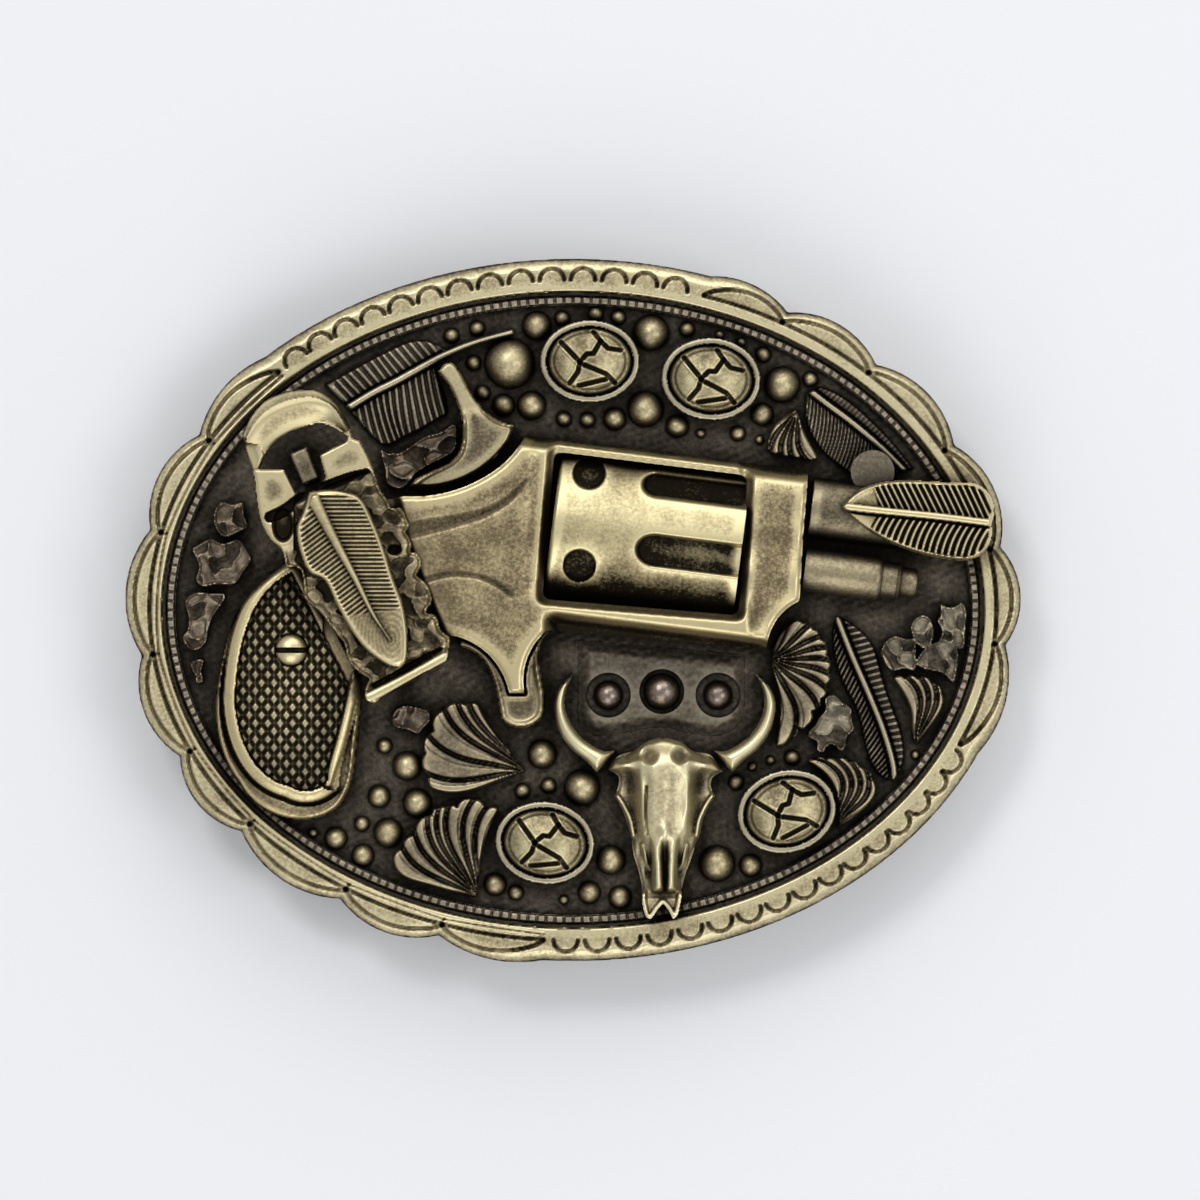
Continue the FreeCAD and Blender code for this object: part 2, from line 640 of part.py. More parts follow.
def make_gun_drum_pin():
    """The stepped pin below the barrel, turned about its own axis."""
    body = new_body("gun_drum_pin")
    sketch = new_sketch(body, "XZ_Plane")
    tip = (DRUM_PIN_STEPS[-1][0], 0)
    draw_outline(sketch, (0, 0), *[[step] for step in DRUM_PIN_STEPS], [tip])
    turned = body.newObject("PartDesign::Revolution", "drum_pin_turned")
    turned.Profile = sketch
    turned.ReferenceAxis = (sketch, ["H_Axis"])
    turned.Angle = 360
    gun_placement(body, PIN_START, "sizes.pin_height")
    return body


def make_hammer():
    return raised_outline(
        "gun_hammer",
        "sizes.hammer_rise",
        (-14.9, 26.2),
        [(-13.3, 27.2), (-12.1, 25.6), (-10.9, 23.4), (-8.6, 21.1), (-6.4, 20.4)],
        [(-7.1, 18.6)],
        [(-8.9, 16.5), (-12.0, 14.5), (-18.0, 13.7)],
        [(-16.0, 15.1), (-13.2, 16.5), (-12.2, 18.4), (-12.5, 22.0), (-13.8, 24.9), (-14.9, 26.2)],
    )


def make_trigger(gun_frame):
    """The spur trigger's sheath, which the frame's ridge runs down."""
    sheath = raised_outline(
        "trigger_sheath",
        "sizes.trigger_rise",
        (-1.6, -1.5),
        [(-3.7, -6.0), (-3.1, -10.2), (-3.4, -11.8)],
        [(-5.8, -13.0), (-7.9, -12.0)],
        [(-8.4, -9.2), (-9.6, -5.9), (-12.6, -4.0)],
        [(-12.6, -1.5)],
    )
    return cut("gun_trigger", sheath, gun_frame)


def draw_panel(sketch):
    draw_outline(
        sketch,
        (-30.9, 4.2),
        [(-34.4, 1.2), (-36.4, -3.6), (-37.2, -9.6)],
        [(-36.4, -14.2), (-34.4, -17.6), (-31.2, -19.4)],
        [(-28.9, -19.9), (-27.0, -18.9)],
        [(-26.2, -14.6), (-25.0, -10.0), (-24.8, -8.0)],
    )


def make_grip_frame():
    body, sketch = relief("grip_frame")
    draw_outline(
        sketch,
        GRIP_JOINT[0],
        [(-34.0, 3.2), (-37.0, -0.2), (-38.6, -5.0), (-39.4, -10.4), (-38.9, -14.8), (-36.8, -19.0)],
        [(-33.4, -22.3), (-29.0, -23.1), (-25.9, -21.8)],
        [(-24.4, -19.0), (-23.8, -14.5), (-23.3, -10.5), GRIP_JOINT[1]],
    )
    add_pad(body, sketch, "sizes.grip_rise")
    seat = new_sketch(body, offset="sizes.grip_rise")
    draw_panel(seat)
    add_pocket(body, seat, "sizes.panel_depth")
    return body


def make_grip_panel():
    body = new_body("grip_panel", PANEL_SEAT)
    sketch = new_sketch(body)
    draw_panel(sketch)
    draw_circle(sketch, (size("grip_screw_x"), size("grip_screw_y")), "sizes.grip_screw_radius")
    add_pad(body, sketch, "sizes.panel_thickness")
    return body


def make_grip_screw():
    """A domed head with one slot, standing in the panel's hole."""
    shank = upright_cylinder("screw_shank", "sizes.grip_screw_radius", 0, 0, 0, "sizes.screw_shank")
    dome = doc.addObject("Part::Ellipsoid", "screw_dome")
    dome.Angle1 = 0
    dome.setExpression("Radius1", "sizes.screw_dome")
    dome.setExpression("Radius2", "sizes.grip_screw_radius")
    dome.setExpression("Radius3", "sizes.grip_screw_radius")
    dome.setExpression("Placement.Base.z", "sizes.screw_shank")
    slot = doc.addObject("Part::Box", "screw_slot")
    slot.setExpression("Length", "3 * sizes.grip_screw_radius")
    slot.setExpression("Width", "sizes.screw_slot")
    slot.setExpression("Height", "sizes.screw_dome")
    slot.setExpression("Placement.Base.x", "-1.5 * sizes.grip_screw_radius")
    slot.setExpression("Placement.Base.y", "-sizes.screw_slot / 2")
    slot.setExpression("Placement.Base.z", "sizes.screw_slot_floor")
    screw = cut("grip_screw", combine("Part::MultiFuse", "screw_blank", [shank, dome]), slot)
    screw.setExpression("Placement.Base.x", "sizes.grip_screw_x")
    screw.setExpression("Placement.Base.y", "sizes.grip_screw_y")
    screw.setExpression("Placement.Base.z", PANEL_SEAT)
    return screw


def make_muzzle_feather(barrel):
    """The feather hides the muzzle: a thin hood over it, and a block from the field ahead of it."""
    hood = new_body("muzzle_hood", "sizes.cap_height")
    sketch = new_sketch(hood)
    draw_outline(
        sketch,
        (29.4, 11.3),
        [(32.0, 13.5), (36.5, 14.3), (43.0, 14.1)],
        [(45.9, 12.6), (46.0, 9.5)],
        [(45.4, 6.6), (42.8, 5.4)],
        [(38.5, 6.1), (33.5, 8.1), (29.4, 11.3)],
    )
    add_pad(hood, sketch, "sizes.cap_thickness")
    block = new_body("muzzle_block", "sizes.field_height")
    block_sketch = new_sketch(block)
    draw_outline(block_sketch, (33.0, 12.6), [(40.0, 12.6)], [(41.4, 6.8)], [(38.5, 7.0)], [(35.0, 8.8)])
    add_pad(block, block_sketch, "sizes.cap_height - sizes.field_height")
    blank = combine("Part::MultiFuse", "muzzle_blank", [hood, block])
    return cut("muzzle_feather", blank, barrel)


def latch_body(label):
    """A body in the latch's own frame: X along its hinge, Y up its length, Z = 0 at the table."""
    body = doc.addObject("PartDesign::Body", label)
    body.Label = label
    place_on_latch(body)
    return body


def place_on_latch(part):
    part.Placement = Placement(Vector(0, 0, 0), Rotation(Vector(0, 0, 1), 1))
    part.setExpression("Placement.Base.x", "sizes.latch_x")
    part.setExpression("Placement.Base.y", "sizes.latch_y")
    part.setExpression("Placement.Rotation.Angle", "sizes.latch_turn")


def draw_arch(sketch):
    draw_outline(
        sketch,
        (-5.9, 27.1),
        [(-5.9, 30.6), (-2.4, 33.2), (1.6, 33.2), (4.8, 30.6), (5.4, 26.3)],
        [(0.6, 29.4), (-5.9, 27.1)],
    )


def make_latch_plate():
    body = latch_body("latch_plate")
    plate = new_sketch(body, offset="sizes.latch_bottom")
    draw_outline(
        plate,
        (-4.2, -1.2),
        [(5.3, -0.6)],
        [(6.4, 5.0), (6.8, 12.0), (6.3, 18.6), (5.4, 26.3)],
        [(4.8, 30.6), (1.6, 33.2), (-2.4, 33.2), (-5.9, 30.6), (-5.9, 27.1)],
        [(-6.4, 23.5), (-7.2, 19.2), (-5.9, 12.0), (-4.6, 5.0), (-4.2, -1.2)],
    )
    # The T-shaped window that the catch stands in.
    draw_outline(
        plate,
        (-2.9, 22.7),
        [(1.0, 22.7)],
        [(1.0, 25.9)],
        [(4.4, 25.9)],
        [(0.6, 29.2), (-4.8, 26.8)],
        [(-4.8, 26.1)],
        [(-2.9, 26.1)],
    )
    add_pad(body, plate, "sizes.latch_thickness")
    ears = new_sketch(body, "YZ_Plane")
    ear = size("latch_ear_radius")
    pin = size("latch_pin_height")
    under = size("latch_bottom")
    root = under + size("latch_thickness") / 2
    round_end = [(0.0, pin - ear), (ear, pin)]
    draw_outline(ears, (-ear, under), [(-ear, pin)], round_end, [(ear, under)], [(0.0, root)])
    add_pad(body, ears, "sizes.latch_width", both_ways=True)
    gap = new_sketch(body, "YZ_Plane")
    side = 2 * ear
    draw_outline(gap, (-side, pin - side), [(side, pin - side)], [(side, under)], [(-side, under)])
    add_pocket(body, gap, "sizes.latch_lug_width + sizes.latch_lug_gap", both_ways=True)
    hole = new_sketch(body, "YZ_Plane")
    draw_circle(hole, (0.0, pin), "sizes.latch_pin_radius + sizes.latch_play")
    add_pocket(body, hole, "sizes.latch_width + 2", both_ways=True)
    arch = new_sketch(body, offset="sizes.latch_arch_foot")
    draw_arch(arch)
    add_pad(body, arch, "sizes.latch_arch_top - sizes.latch_arch_foot")
    return body


def make_latch_feather():
    body = latch_body("latch_feather")
    sketch = new_sketch(body, offset="sizes.latch_bottom + sizes.latch_thickness")
    draw_outline(
        sketch,
        (-1.3, 22.0),
        [(-3.5, 20.3), (-4.8, 16.8), (-4.5, 13.8), (-3.7, 9.8), (-1.9, 2.8), (0.2, 0.5)],
        [(1.9, 1.7), (3.3, 5.6), (4.2, 12.6), (4.0, 18.7), (2.4, 20.9), (-1.3, 22.0)],
    )
    add_pad(body, sketch, "sizes.latch_feather_rise")
    return body


def make_latch_lug():
    body = latch_body("latch_lug")
    sketch = new_sketch(body, "YZ_Plane")
    foot = size("field_height")
    pin = size("latch_pin_height")
    half = size("latch_lug_radius")
    draw_outline(sketch, (-half, foot), [(-half, pin)], [(0.0, pin + half), (half, pin)], [(half, foot)])
    draw_circle(sketch, (0.0, pin), "sizes.latch_pin_radius")
    add_pad(body, sketch, "sizes.latch_lug_width", both_ways=True)
    return body


def make_latch_pin():
    pin = doc.addObject("Part::Cylinder", "latch_pin")
    pin.Placement = Placement(Vector(0, 0, 0), Rotation(Vector(0, 0, 1), 0))
    pin.setExpression("Radius", "sizes.latch_pin_radius")
    pin.setExpression("Height", "sizes.latch_width")
    for axis, start, part in (("x", "latch_x", "cos"), ("y", "latch_y", "sin")):
        half_along = f"sizes.latch_width / 2 * {part}(sizes.latch_turn * 1deg)"
        pin.setExpression(f"Placement.Base.{axis}", f"sizes.{start} - {half_along}")
    pin.setExpression("Placement.Base.z", "sizes.latch_pin_height")
    direction = math.radians(size("latch_turn"))
    along = Vector(math.cos(direction), math.sin(direction), 0)
    pin.Placement.Rotation = Rotation(Vector(0, 0, 1), along)
    return pin


def make_latch_catch():
    """The fixed tongue that the latch snaps over."""
    body = latch_body("latch_catch")
    sketch = new_sketch(body, offset="sizes.field_height")
    draw_outline(sketch, (-1.9, 23.4), [(0.2, 23.4)], [(0.2, 27.2)], [(-1.9, 27.2)])
    add_pad(body, sketch, "sizes.latch_bottom + sizes.catch_rise - sizes.field_height")
    return body


def make_cabochon(name, x, y, turn):
    """A setting and its stone, both elliptic and both standing on the field."""
    bezel = new_body(f"bezel_{name}")
    sketch = new_sketch(bezel)
    draw_ellipse(sketch, "sizes.cabochon_length", "sizes.cabochon_width")
    draw_ellipse(
        sketch,
        "sizes.cabochon_length - sizes.bezel_wall",
        "sizes.cabochon_width - sizes.bezel_wall",
    )
    add_pad(bezel, sketch, "sizes.bezel_rise")
    stone = doc.addObject("Part::Ellipsoid", f"stone_{name}")
    stone.Angle1 = 0
    stone.setExpression("Radius1", "sizes.stone_rise")
    stone.setExpression("Radius2", "sizes.cabochon_length - sizes.bezel_wall - sizes.stone_gap")
    stone.setExpression("Radius3", "sizes.cabochon_width - sizes.bezel_wall - sizes.stone_gap")
    for part in (bezel, stone):
        part.Placement = Placement(Vector(x, y, 0), Rotation(Vector(0, 0, 1), turn))
        part.setExpression("Placement.Base.z", "sizes.field_height")
    return [bezel, stone]


def make_bead(name, x, y, kind):
    """A half ball standing on the field."""
    bead = doc.addObject("Part::Sphere", name)
    bead.Angle1 = 0
    bead.setExpression("Radius", f"sizes.bead_{kind}")
    bead.Placement.Base = Vector(x, y, 0)
    bead.setExpression("Placement.Base.z", "sizes.field_height")
    return bead


def make_beads(label, places):
    beads = [make_bead(f"{label}_{i}", *place) for i, place in enumerate(places)]
    group = doc.addObject("Part::Compound", label)
    group.Links = beads
    return group


def make_stud_panel():
    body, sketch = relief("stud_panel")
    draw_outline(
        sketch,
        (0.6, -3.4),
        [(18.9, -5.0)],
        [(18.9, -11.0)],
        [(17.2, -13.4), (13.6, -13.7), (10.0, -12.9), (6.0, -13.4), (2.5, -13.8)],
        [(0.9, -12.6), (0.6, -11.4)],
    )
    for x, y, _kind in STUDS:
        draw_circle(sketch, (x, y), "sizes.stud_hollow")
    add_pad(body, sketch, "sizes.panel_rise")
    return body


def make_skull():
    """Head and muzzle, with a domed brow and nose; the nose end lies over the rim."""
    body, sketch = relief("skull")
    draw_outline(
        sketch,
        (7.5, -15.0),
        [(9.4, -14.2), (11.2, -14.2), (12.8, -15.0)],
        [(16.4, -17.8)],
        [(15.6, -20.6), (14.0, -24.3)],
        [(12.8, -28.0), (12.0, -30.5), (11.7, -31.9)],
        [(7.7, -31.9)],
        [(7.5, -29.5), (6.8, -26.5), (6.3, -24.4)],
        [(4.8, -20.8), (3.9, -17.5)],
    )
    add_pad(body, sketch, "sizes.skull_rise")
    nose = new_sketch(body, offset="sizes.nose_foot")
    draw_outline(nose, (7.6, -31.0), [(8.5, -34.2)], [(9.8, -32.8)], [(11.0, -34.2)], [(11.9, -31.0)])
    add_pad(body, nose, "sizes.nose_thickness")
    doc.recompute()
    for name, (middle, half_width, half_length) in SKULL_DOMES.items():
        dome = body.newObject("PartDesign::AdditiveEllipsoid", name)
        dome.Radius2 = half_width
        dome.Radius3 = half_length
        dome.setExpression("Radius1", "sizes.skull_top - sizes.field_height - sizes.dome_foot")
        dome.Angle1 = 0
        dome.AttachmentSupport = [(plane_of(body, "XY_Plane"), "")]
        dome.MapMode = "FlatFace"
        dome.AttachmentOffset = Placement(Vector(*middle, size("dome_foot")), Rotation())
    return body


def make_horn(side):
    """side is +1 for the horn on the right and -1 for its mirror image."""

    def at(offset, y):
        return (SKULL_AXIS + side * offset, y)

    label = "horn_right" if side > 0 else "horn_left"
    return raised_outline(
        label,
        "sizes.horn_rise",
        at(10.0, -6.9),
        [at(11.5, -8.4), at(12.2, -10.2), at(12.0, -12.3), at(11.3, -14.0), at(9.6, -15.9), at(7.4, -17.9)],
        [at(5.2, -15.4)],
        [at(7.7, -15.0), at(9.4, -13.8), at(10.6, -12.0), at(10.9, -9.4), at(10.0, -6.9)],
    )


def make_feathers():
    upper_left = raised_outline(
        "feather_upper_left",
        "sizes.feather_rise",
        (-24.6, 22.0),
        [(-27.5, 24.9)],
        [(-25.0, 26.2), (-22.3, 27.7), (-19.7, 29.0), (-17.9, 29.7), (-16.0, 29.7), (-14.3, 28.8)],
        [(-11.2, 29.8), (-9.0, 30.45), (-6.6, 31.1)],
        [(-6.4, 30.35)],
        [(-9.0, 29.7), (-11.2, 29.0), (-13.4, 28.0)],
        [(-15.3, 26.9)],
        [(-14.7, 25.2), (-14.1, 23.4), (-13.9, 21.6)],
        [(-15.6, 20.6), (-17.4, 19.6), (-18.9, 18.9), (-20.2, 18.2), (-21.3, 18.3)],
        [(-23.0, 20.0), (-24.6, 22.0)],
    )
    upper_right = raised_outline(
        "feather_upper_right",
        "sizes.feather_rise",
        (25.8, 23.9),
        [(27.3, 24.7)],
        [(29.6, 23.7), (32.6, 21.3), (35.5, 18.3), (37.6, 15.6)],
        [(34.5, 14.7)],
        [(31.3, 14.4)],
        [(29.2, 16.0), (27.4, 17.6), (26.2, 19.4), (25.6, 21.6), (25.8, 23.9)],
    )
    leaf = raised_outline(
        "feather_lower_right",
        "sizes.feather_rise",
        (29.0, -0.5),
        [
            (31.4, -1.9), (33.1, -3.8), (34.0, -6.6), (35.2, -10.4),
            (36.4, -14.0), (36.5, -16.6), (35.4, -18.8),
        ],
        [
            (34.0, -18.4), (32.8, -16.8), (32.0, -14.0), (31.3, -11.2),
            (29.8, -8.2), (28.9, -5.6), (28.6, -2.8), (29.0, -0.5),
        ],
    )
    return [upper_left, upper_right, leaf]


def make_feather_disc(neighbours):
    """A smooth disc lying on the upper right feather, cut away where its neighbours stand."""
    disc = doc.addObject("Part::Cylinder", "disc_blank")
    disc.setExpression("Radius", "sizes.disc_radius")
    disc.setExpression("Height", "sizes.disc_rise")
    disc.Placement.Base = flat(DISC_MIDDLE)
    disc.setExpression("Placement.Base.z", "sizes.field_height + sizes.feather_rise")
    return cut("feather_disc", disc, combine("Part::MultiFuse", "disc_neighbours", neighbours))


def make_lumps(label, curves):
    """Rough lumps of one height, some of which run into each other."""
    bodies = []
    for i, points in enumerate(curves):
        body, sketch = relief(f"{label}_lump_{i}")
        draw_closed_curve(sketch, points)
        add_pad(body, sketch, "sizes.nugget_rise")
        bodies.append(body)
    if len(bodies) > 1:
        return combine("Part::MultiFuse", label, bodies)
    bodies[0].Label = label
    return bodies[0]


def make_fan(label, apex, first_side, tips, last_side):
    """Lobes between the tips swell away from the point that the ribs spring from."""
    runs = [[*first_side, tips[0]]]
    for first, second in zip(tips, tips[1:]):
        middle = ((first[0] + second[0]) / 2, (first[1] + second[1]) / 2)
        away = Vector(middle[0] - apex[0], middle[1] - apex[1], 0).normalize()
        swell = LOBE_SWELL * math.dist(first, second)
        runs.append([(middle[0] + swell * away.x, middle[1] + swell * away.y), second])
    runs.append([*last_side, apex])
    return raised_outline(label, "sizes.fan_rise", apex, *runs)


def make_loop_lug(label, side):
    """A lug that hangs from the plate's hollowed back, bored for the loop's wire."""
    body = new_body(label)
    sketch = new_sketch(body, "XZ_Plane")
    top = size("back_height") + size("back_recess") - size("loop_pivot_height")
    lug_round = size("loop_pivot_height")
    root = lug_round + size("lug_flare")
    draw_outline(
        sketch,
        (-root, top),
        [(-lug_round, 0)],
        [(0, -lug_round), (lug_round, 0)],
        [(root, top)],
    )
    draw_circle(sketch, (0.0, 0.0), "sizes.loop_wire_radius + sizes.lug_play")
    add_pad(body, sketch, "sizes.lug_thickness", both_ways=True)
    body.setExpression("Placement.Base.x", "sizes.loop_pivot_x")
    body.setExpression("Placement.Base.y", f"{side} * sizes.lug_middle")
    body.setExpression("Placement.Base.z", "sizes.loop_pivot_height")
    return body


def make_belt_loop():
    """Round wire bent to a frame; its two ends turn inwards and are its hinge pins."""
    reach = size("loop_reach")
    half = size("loop_half_width")
    corner = size("loop_corner")
    elbow = size("loop_elbow")
    end = size("loop_pin_end")
    bend = 1 - math.sqrt(0.5)
    body = new_body("belt_loop")
    path = new_sketch(body)
    draw_runs(
        path,
        (0, -end),
        [(0, elbow - half)],
        [(elbow * bend, elbow * bend - half), (elbow, -half)],
        [(reach - corner, -half)],
        [(reach - corner * bend, corner * bend - half), (reach, corner - half)],
        [(reach, half - corner)],
        [(reach - corner * bend, half - corner * bend), (reach - corner, half)],
        [(elbow, half)],
        [(elbow * bend, half - elbow * bend), (0, half - elbow)],
        [(0, end)],
    )
    section = new_sketch(body, "XZ_Plane", offset="sizes.loop_pin_end")
    draw_circle(section, (0.0, 0.0), "sizes.loop_wire_radius")
    doc.recompute()
    pipe = body.newObject("PartDesign::AdditivePipe", "loop_wire")
    pipe.Profile = section
    pipe.Spine = (path, [])
    body.Placement = Placement(Vector(0, 0, 0), Rotation(Vector(0, 1, 0), 1))
    body.setExpression("Placement.Base.x", "sizes.loop_pivot_x")
    body.setExpression("Placement.Base.z", "sizes.loop_pivot_height")
    droop = "asin((sizes.loop_pivot_height - sizes.loop_wire_radius) / sizes.loop_reach)"
    body.setExpression("Placement.Rotation.Angle", droop)
    return body


def make_hook():
    """A peg that leans outwards from a collar on the plate's back, with a ball end at Z = 0."""
    lean = math.radians(size("hook_lean"))
    top = size("back_height") + size("back_recess")
    down = Vector(-math.sin(lean), 0, -math.cos(lean))
    along_peg = Rotation(Vector(0, 0, 1), down)
    foot_point = Vector(size("hook_x"), 0, top)
    # The peg and collar start this far above the plate's back, and the trim takes that off.
    spare = 2.0
    reach = (top - size("hook_radius")) / math.cos(lean)
    peg = doc.addObject("Part::Cylinder", "hook_peg")
    peg.setExpression("Radius", "sizes.hook_radius")
    peg.Height = spare + reach
    ball = doc.addObject("Part::Sphere", "hook_ball")
    ball.setExpression("Radius", "sizes.hook_radius")
    ball.Placement.Base = foot_point + down * reach
    collar = doc.addObject("Part::Cone", "hook_collar")
    collar.setExpression("Radius1", "sizes.hook_collar + sizes.hook_collar_flare")
    collar.setExpression("Radius2", "sizes.hook_collar")
    collar.Height = spare + size("hook_collar_rise")
    for part in (peg, collar):
        part.Placement = Placement(foot_point - down * spare, along_peg)
    trim_half = 2 * size("hook_collar")
    trim = doc.addObject("Part::Box", "hook_trim")
    trim.Length = 2 * trim_half
    trim.Width = 2 * trim_half
    trim.Height = 2 * spare
    trim.Placement.Base = foot_point - Vector(trim_half, trim_half, 0)
    blank = combine("Part::MultiFuse", "hook_blank", [peg, ball, collar])
    return cut("hook", blank, trim)


def make_all():
    frame = make_gun_frame()
    barrel = make_gun_barrel()
    muzzle_feather = make_muzzle_feather(barrel)
    grip_frame = make_grip_frame()
    pieces = [make_base_plate(), make_beaded_border(grip_frame), frame, make_gun_drum(), barrel]
    pieces += [make_gun_drum_pin(), make_hammer(), make_trigger(frame)]
    pieces += [grip_frame, make_grip_panel(), make_grip_screw(), muzzle_feather]
    pieces += [make_latch_plate(), make_latch_feather()]
    pieces += [make_latch_lug(), make_latch_pin(), make_latch_catch()]
    for name, place in CABOCHONS.items():
        pieces += make_cabochon(name, *place)
    for label, places in BEADS.items():
        pieces.append(make_beads(label, places))
    pieces += [make_stud_panel(), make_beads("studs", STUDS), make_skull(), make_horn(-1), make_horn(1)]
    pieces += make_feathers() + [make_feather_disc([muzzle_feather, barrel])]
    for label, curves in LUMPS.items():
        pieces.append(make_lumps(label, curves))
    for label, fan in FANS.items():
        pieces.append(make_fan(label, *fan))
    pieces += [make_loop_lug("loop_lug_upper", 1), make_loop_lug("loop_lug_lower", -1)]
    pieces += [make_belt_loop(), make_hook()]
    return pieces


def check(pieces):
    for item in doc.Objects:
        if "Invalid" in item.State or "Error" in item.State:
            raise RuntimeError(f"{item.Name} did not compute: {item.State}")
    for piece in pieces:
        if piece.Shape.isNull() or not piece.Shape.isValid():
            raise RuntimeError(f"{piece.Label} has no valid shape")


fill_sheet()
all_pieces = make_all()
doc.recompute()
check(all_pieces)
os.makedirs("parts", exist_ok=True)
for piece in all_pieces:
    piece.Shape.exportStep(f"parts/{piece.Label}.step")
    print(piece.Label, len(piece.Shape.Solids), round(piece.Shape.Volume, 2))
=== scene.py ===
import math
import bpy
import numpy as np
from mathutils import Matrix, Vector
from mathutils.geometry import tessellate_polygon


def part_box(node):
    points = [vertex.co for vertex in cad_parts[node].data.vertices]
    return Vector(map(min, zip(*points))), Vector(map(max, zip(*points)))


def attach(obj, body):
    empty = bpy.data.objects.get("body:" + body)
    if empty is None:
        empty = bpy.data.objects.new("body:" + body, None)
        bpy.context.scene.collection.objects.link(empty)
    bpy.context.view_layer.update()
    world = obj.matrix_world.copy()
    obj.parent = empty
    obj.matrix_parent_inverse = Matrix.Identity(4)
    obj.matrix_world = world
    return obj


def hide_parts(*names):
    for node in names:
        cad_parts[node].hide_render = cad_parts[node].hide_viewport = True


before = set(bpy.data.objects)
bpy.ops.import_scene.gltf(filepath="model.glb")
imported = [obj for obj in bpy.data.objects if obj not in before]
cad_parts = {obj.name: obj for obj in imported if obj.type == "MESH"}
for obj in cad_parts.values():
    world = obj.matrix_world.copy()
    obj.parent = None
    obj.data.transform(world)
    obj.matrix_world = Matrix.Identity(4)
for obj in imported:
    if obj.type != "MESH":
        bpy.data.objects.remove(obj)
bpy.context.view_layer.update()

# An antique brass belt buckle. Shapes are worked out in millimetres and made in metres.
# Most ornaments are reliefs: heights on a fine square grid inside the outline of their CAD node.

MM = 0.001


# ---- heights of the frame

def heights(node):
    """Lowest and highest height of a CAD node, in mm."""
    low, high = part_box(node)
    return low.z / MM, high.z / MM


BACK, RIM_TOP = heights("base_plate")
FIELD = heights("studs")[0]
FOOT = FIELD - 0.1  # ornaments start a little below the field, so no gap shows under them
RECESS = heights("loop_lug_upper")[1]


# ---- outlines and paths

def corners_of(node):
    """The lowest and highest corner of a CAD node's box, in mm."""
    return [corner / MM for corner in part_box(node)]


def outlines_of(node, level=None):
    """The closed edges, widest first, of a CAD node's flat face at that height, or at its foot."""
    if level is None:
        level = heights(node)[0]
    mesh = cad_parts[node].data
    points = np.array([v.co for v in mesh.vertices]) / MM
    flat = np.abs(points[:, 2] - level) < 0.01
    keys = [tuple(p) for p in np.round(points[:, :2], 3)]
    edges = set()
    for face in mesh.polygons:
        ids = list(face.vertices)
        if flat[ids].all():
            for a, b in zip(ids, ids[1:] + ids[:1]):
                if (keys[b], keys[a]) in edges:
                    edges.remove((keys[b], keys[a]))
                elif keys[a] != keys[b]:
                    edges.add((keys[a], keys[b]))
    return chained(edges)


def chained(edges):
    """Joins directed edges into closed loops, widest first."""
    follow = {}
    for a, b in sorted(edges):
        follow.setdefault(a, []).append(b)
    loops = []
    while follow:
        start = next(iter(follow))
        loop = []
        here = start
        while here in follow:
            loop.append(here)
            nexts = follow[here]
            after = nexts.pop()
            if not nexts:
                del follow[here]
            here = after
        if len(loop) > 2:
            loops.append(np.array(loop, float))
    return sorted(loops, key=lambda loop: -np.ptp(loop[:, 0]))


def curve(*points, spacing=0.25):
    """A smooth path through the points."""
    p = np.array(points, float)
    p = np.vstack([2 * p[0] - p[1], p, 2 * p[-1] - p[-2]])
    path = [p[1]]
    for before, here, there, after in zip(p, p[1:], p[2:], p[3:]):
        count = max(2, int(np.hypot(*(there - here)) / spacing))
        for step in range(1, count + 1):
            t = step / count
            bend = (2 * before - 5 * here + 4 * there - after) * t**2
            twist = (3 * here - before - 3 * there + after) * t**3
            path.append(0.5 * (2 * here + (there - before) * t + bend + twist))
    return np.array(path)


def outline(start, *runs):
    """A closed outline: a run of one point is a straight line, and a longer run is a smooth curve."""
    path = [np.array([start], float)]
    here = start
    for run in runs:
        stretch = np.array([run[0]], float) if len(run) == 1 else curve(here, *run)[1:]
        path.append(stretch)
        here = run[-1]
    points = np.vstack(path)
    if np.hypot(*(points[0] - points[-1])) < 0.01:
        points = points[:-1]
    return points


def oval(half_length, half_width, centre=(0, 0), count=160):
    around = np.linspace(0, 2 * math.pi, count, endpoint=False)
    return np.stack([centre[0] + half_length * np.cos(around), centre[1] + half_width * np.sin(around)], 1)


def block(left, right, half_width):
    """A rectangle along the x axis."""
    return outline((left, -half_width), [(right, -half_width)], [(right, half_width)], [(left, half_width)])


# ---- height helpers

def smooth(low, high, value):
    t = np.clip((value - low) / (high - low), 0, 1)
    return t * t * (3 - 2 * t)


def dome(share):
    """Height of a half round, at that share of its half width."""
    return np.sqrt(np.clip(1 - share**2, 0, 1))


def zigzag(phase):
    """1 at every whole number and 0 halfway between them."""
    return np.abs(phase % 1 - 0.5) * 2


def rounded(depth, drop, width):
    """How far a rounded edge lies below its flat, at that distance from the outline."""
    return -drop * (1 - dome(1 - np.clip(depth / width, 0, 1)))


def drafted(depth, drop, width, crispness=9):
    """The same for a sloping wall with a small round at its top."""
    t = np.clip(depth / width, 0, 1.4)
    return -drop * np.log1p(np.exp((1 - t) * crispness)) / crispness


def groove(distance, deep, half):
    """A round-bottomed groove, as a height below its surface."""
    return -deep * np.clip(1 - (distance / half) ** 2, 0, 1)


def waves(x, y, size, seed, count=9):
    """Smooth uneven lumps about that size, from -1 to 1."""
    draw = np.random.RandomState(seed)
    total = np.zeros_like(x)
    for _ in range(count):
        turn = draw.uniform(0, 2 * math.pi)
        pitch = size * draw.uniform(1.6, 3.0)
        shift = draw.uniform(0, 2 * math.pi)
        total += np.sin((x * math.cos(turn) + y * math.sin(turn)) * 2 * math.pi / pitch + shift)
    return total / count * 1.6


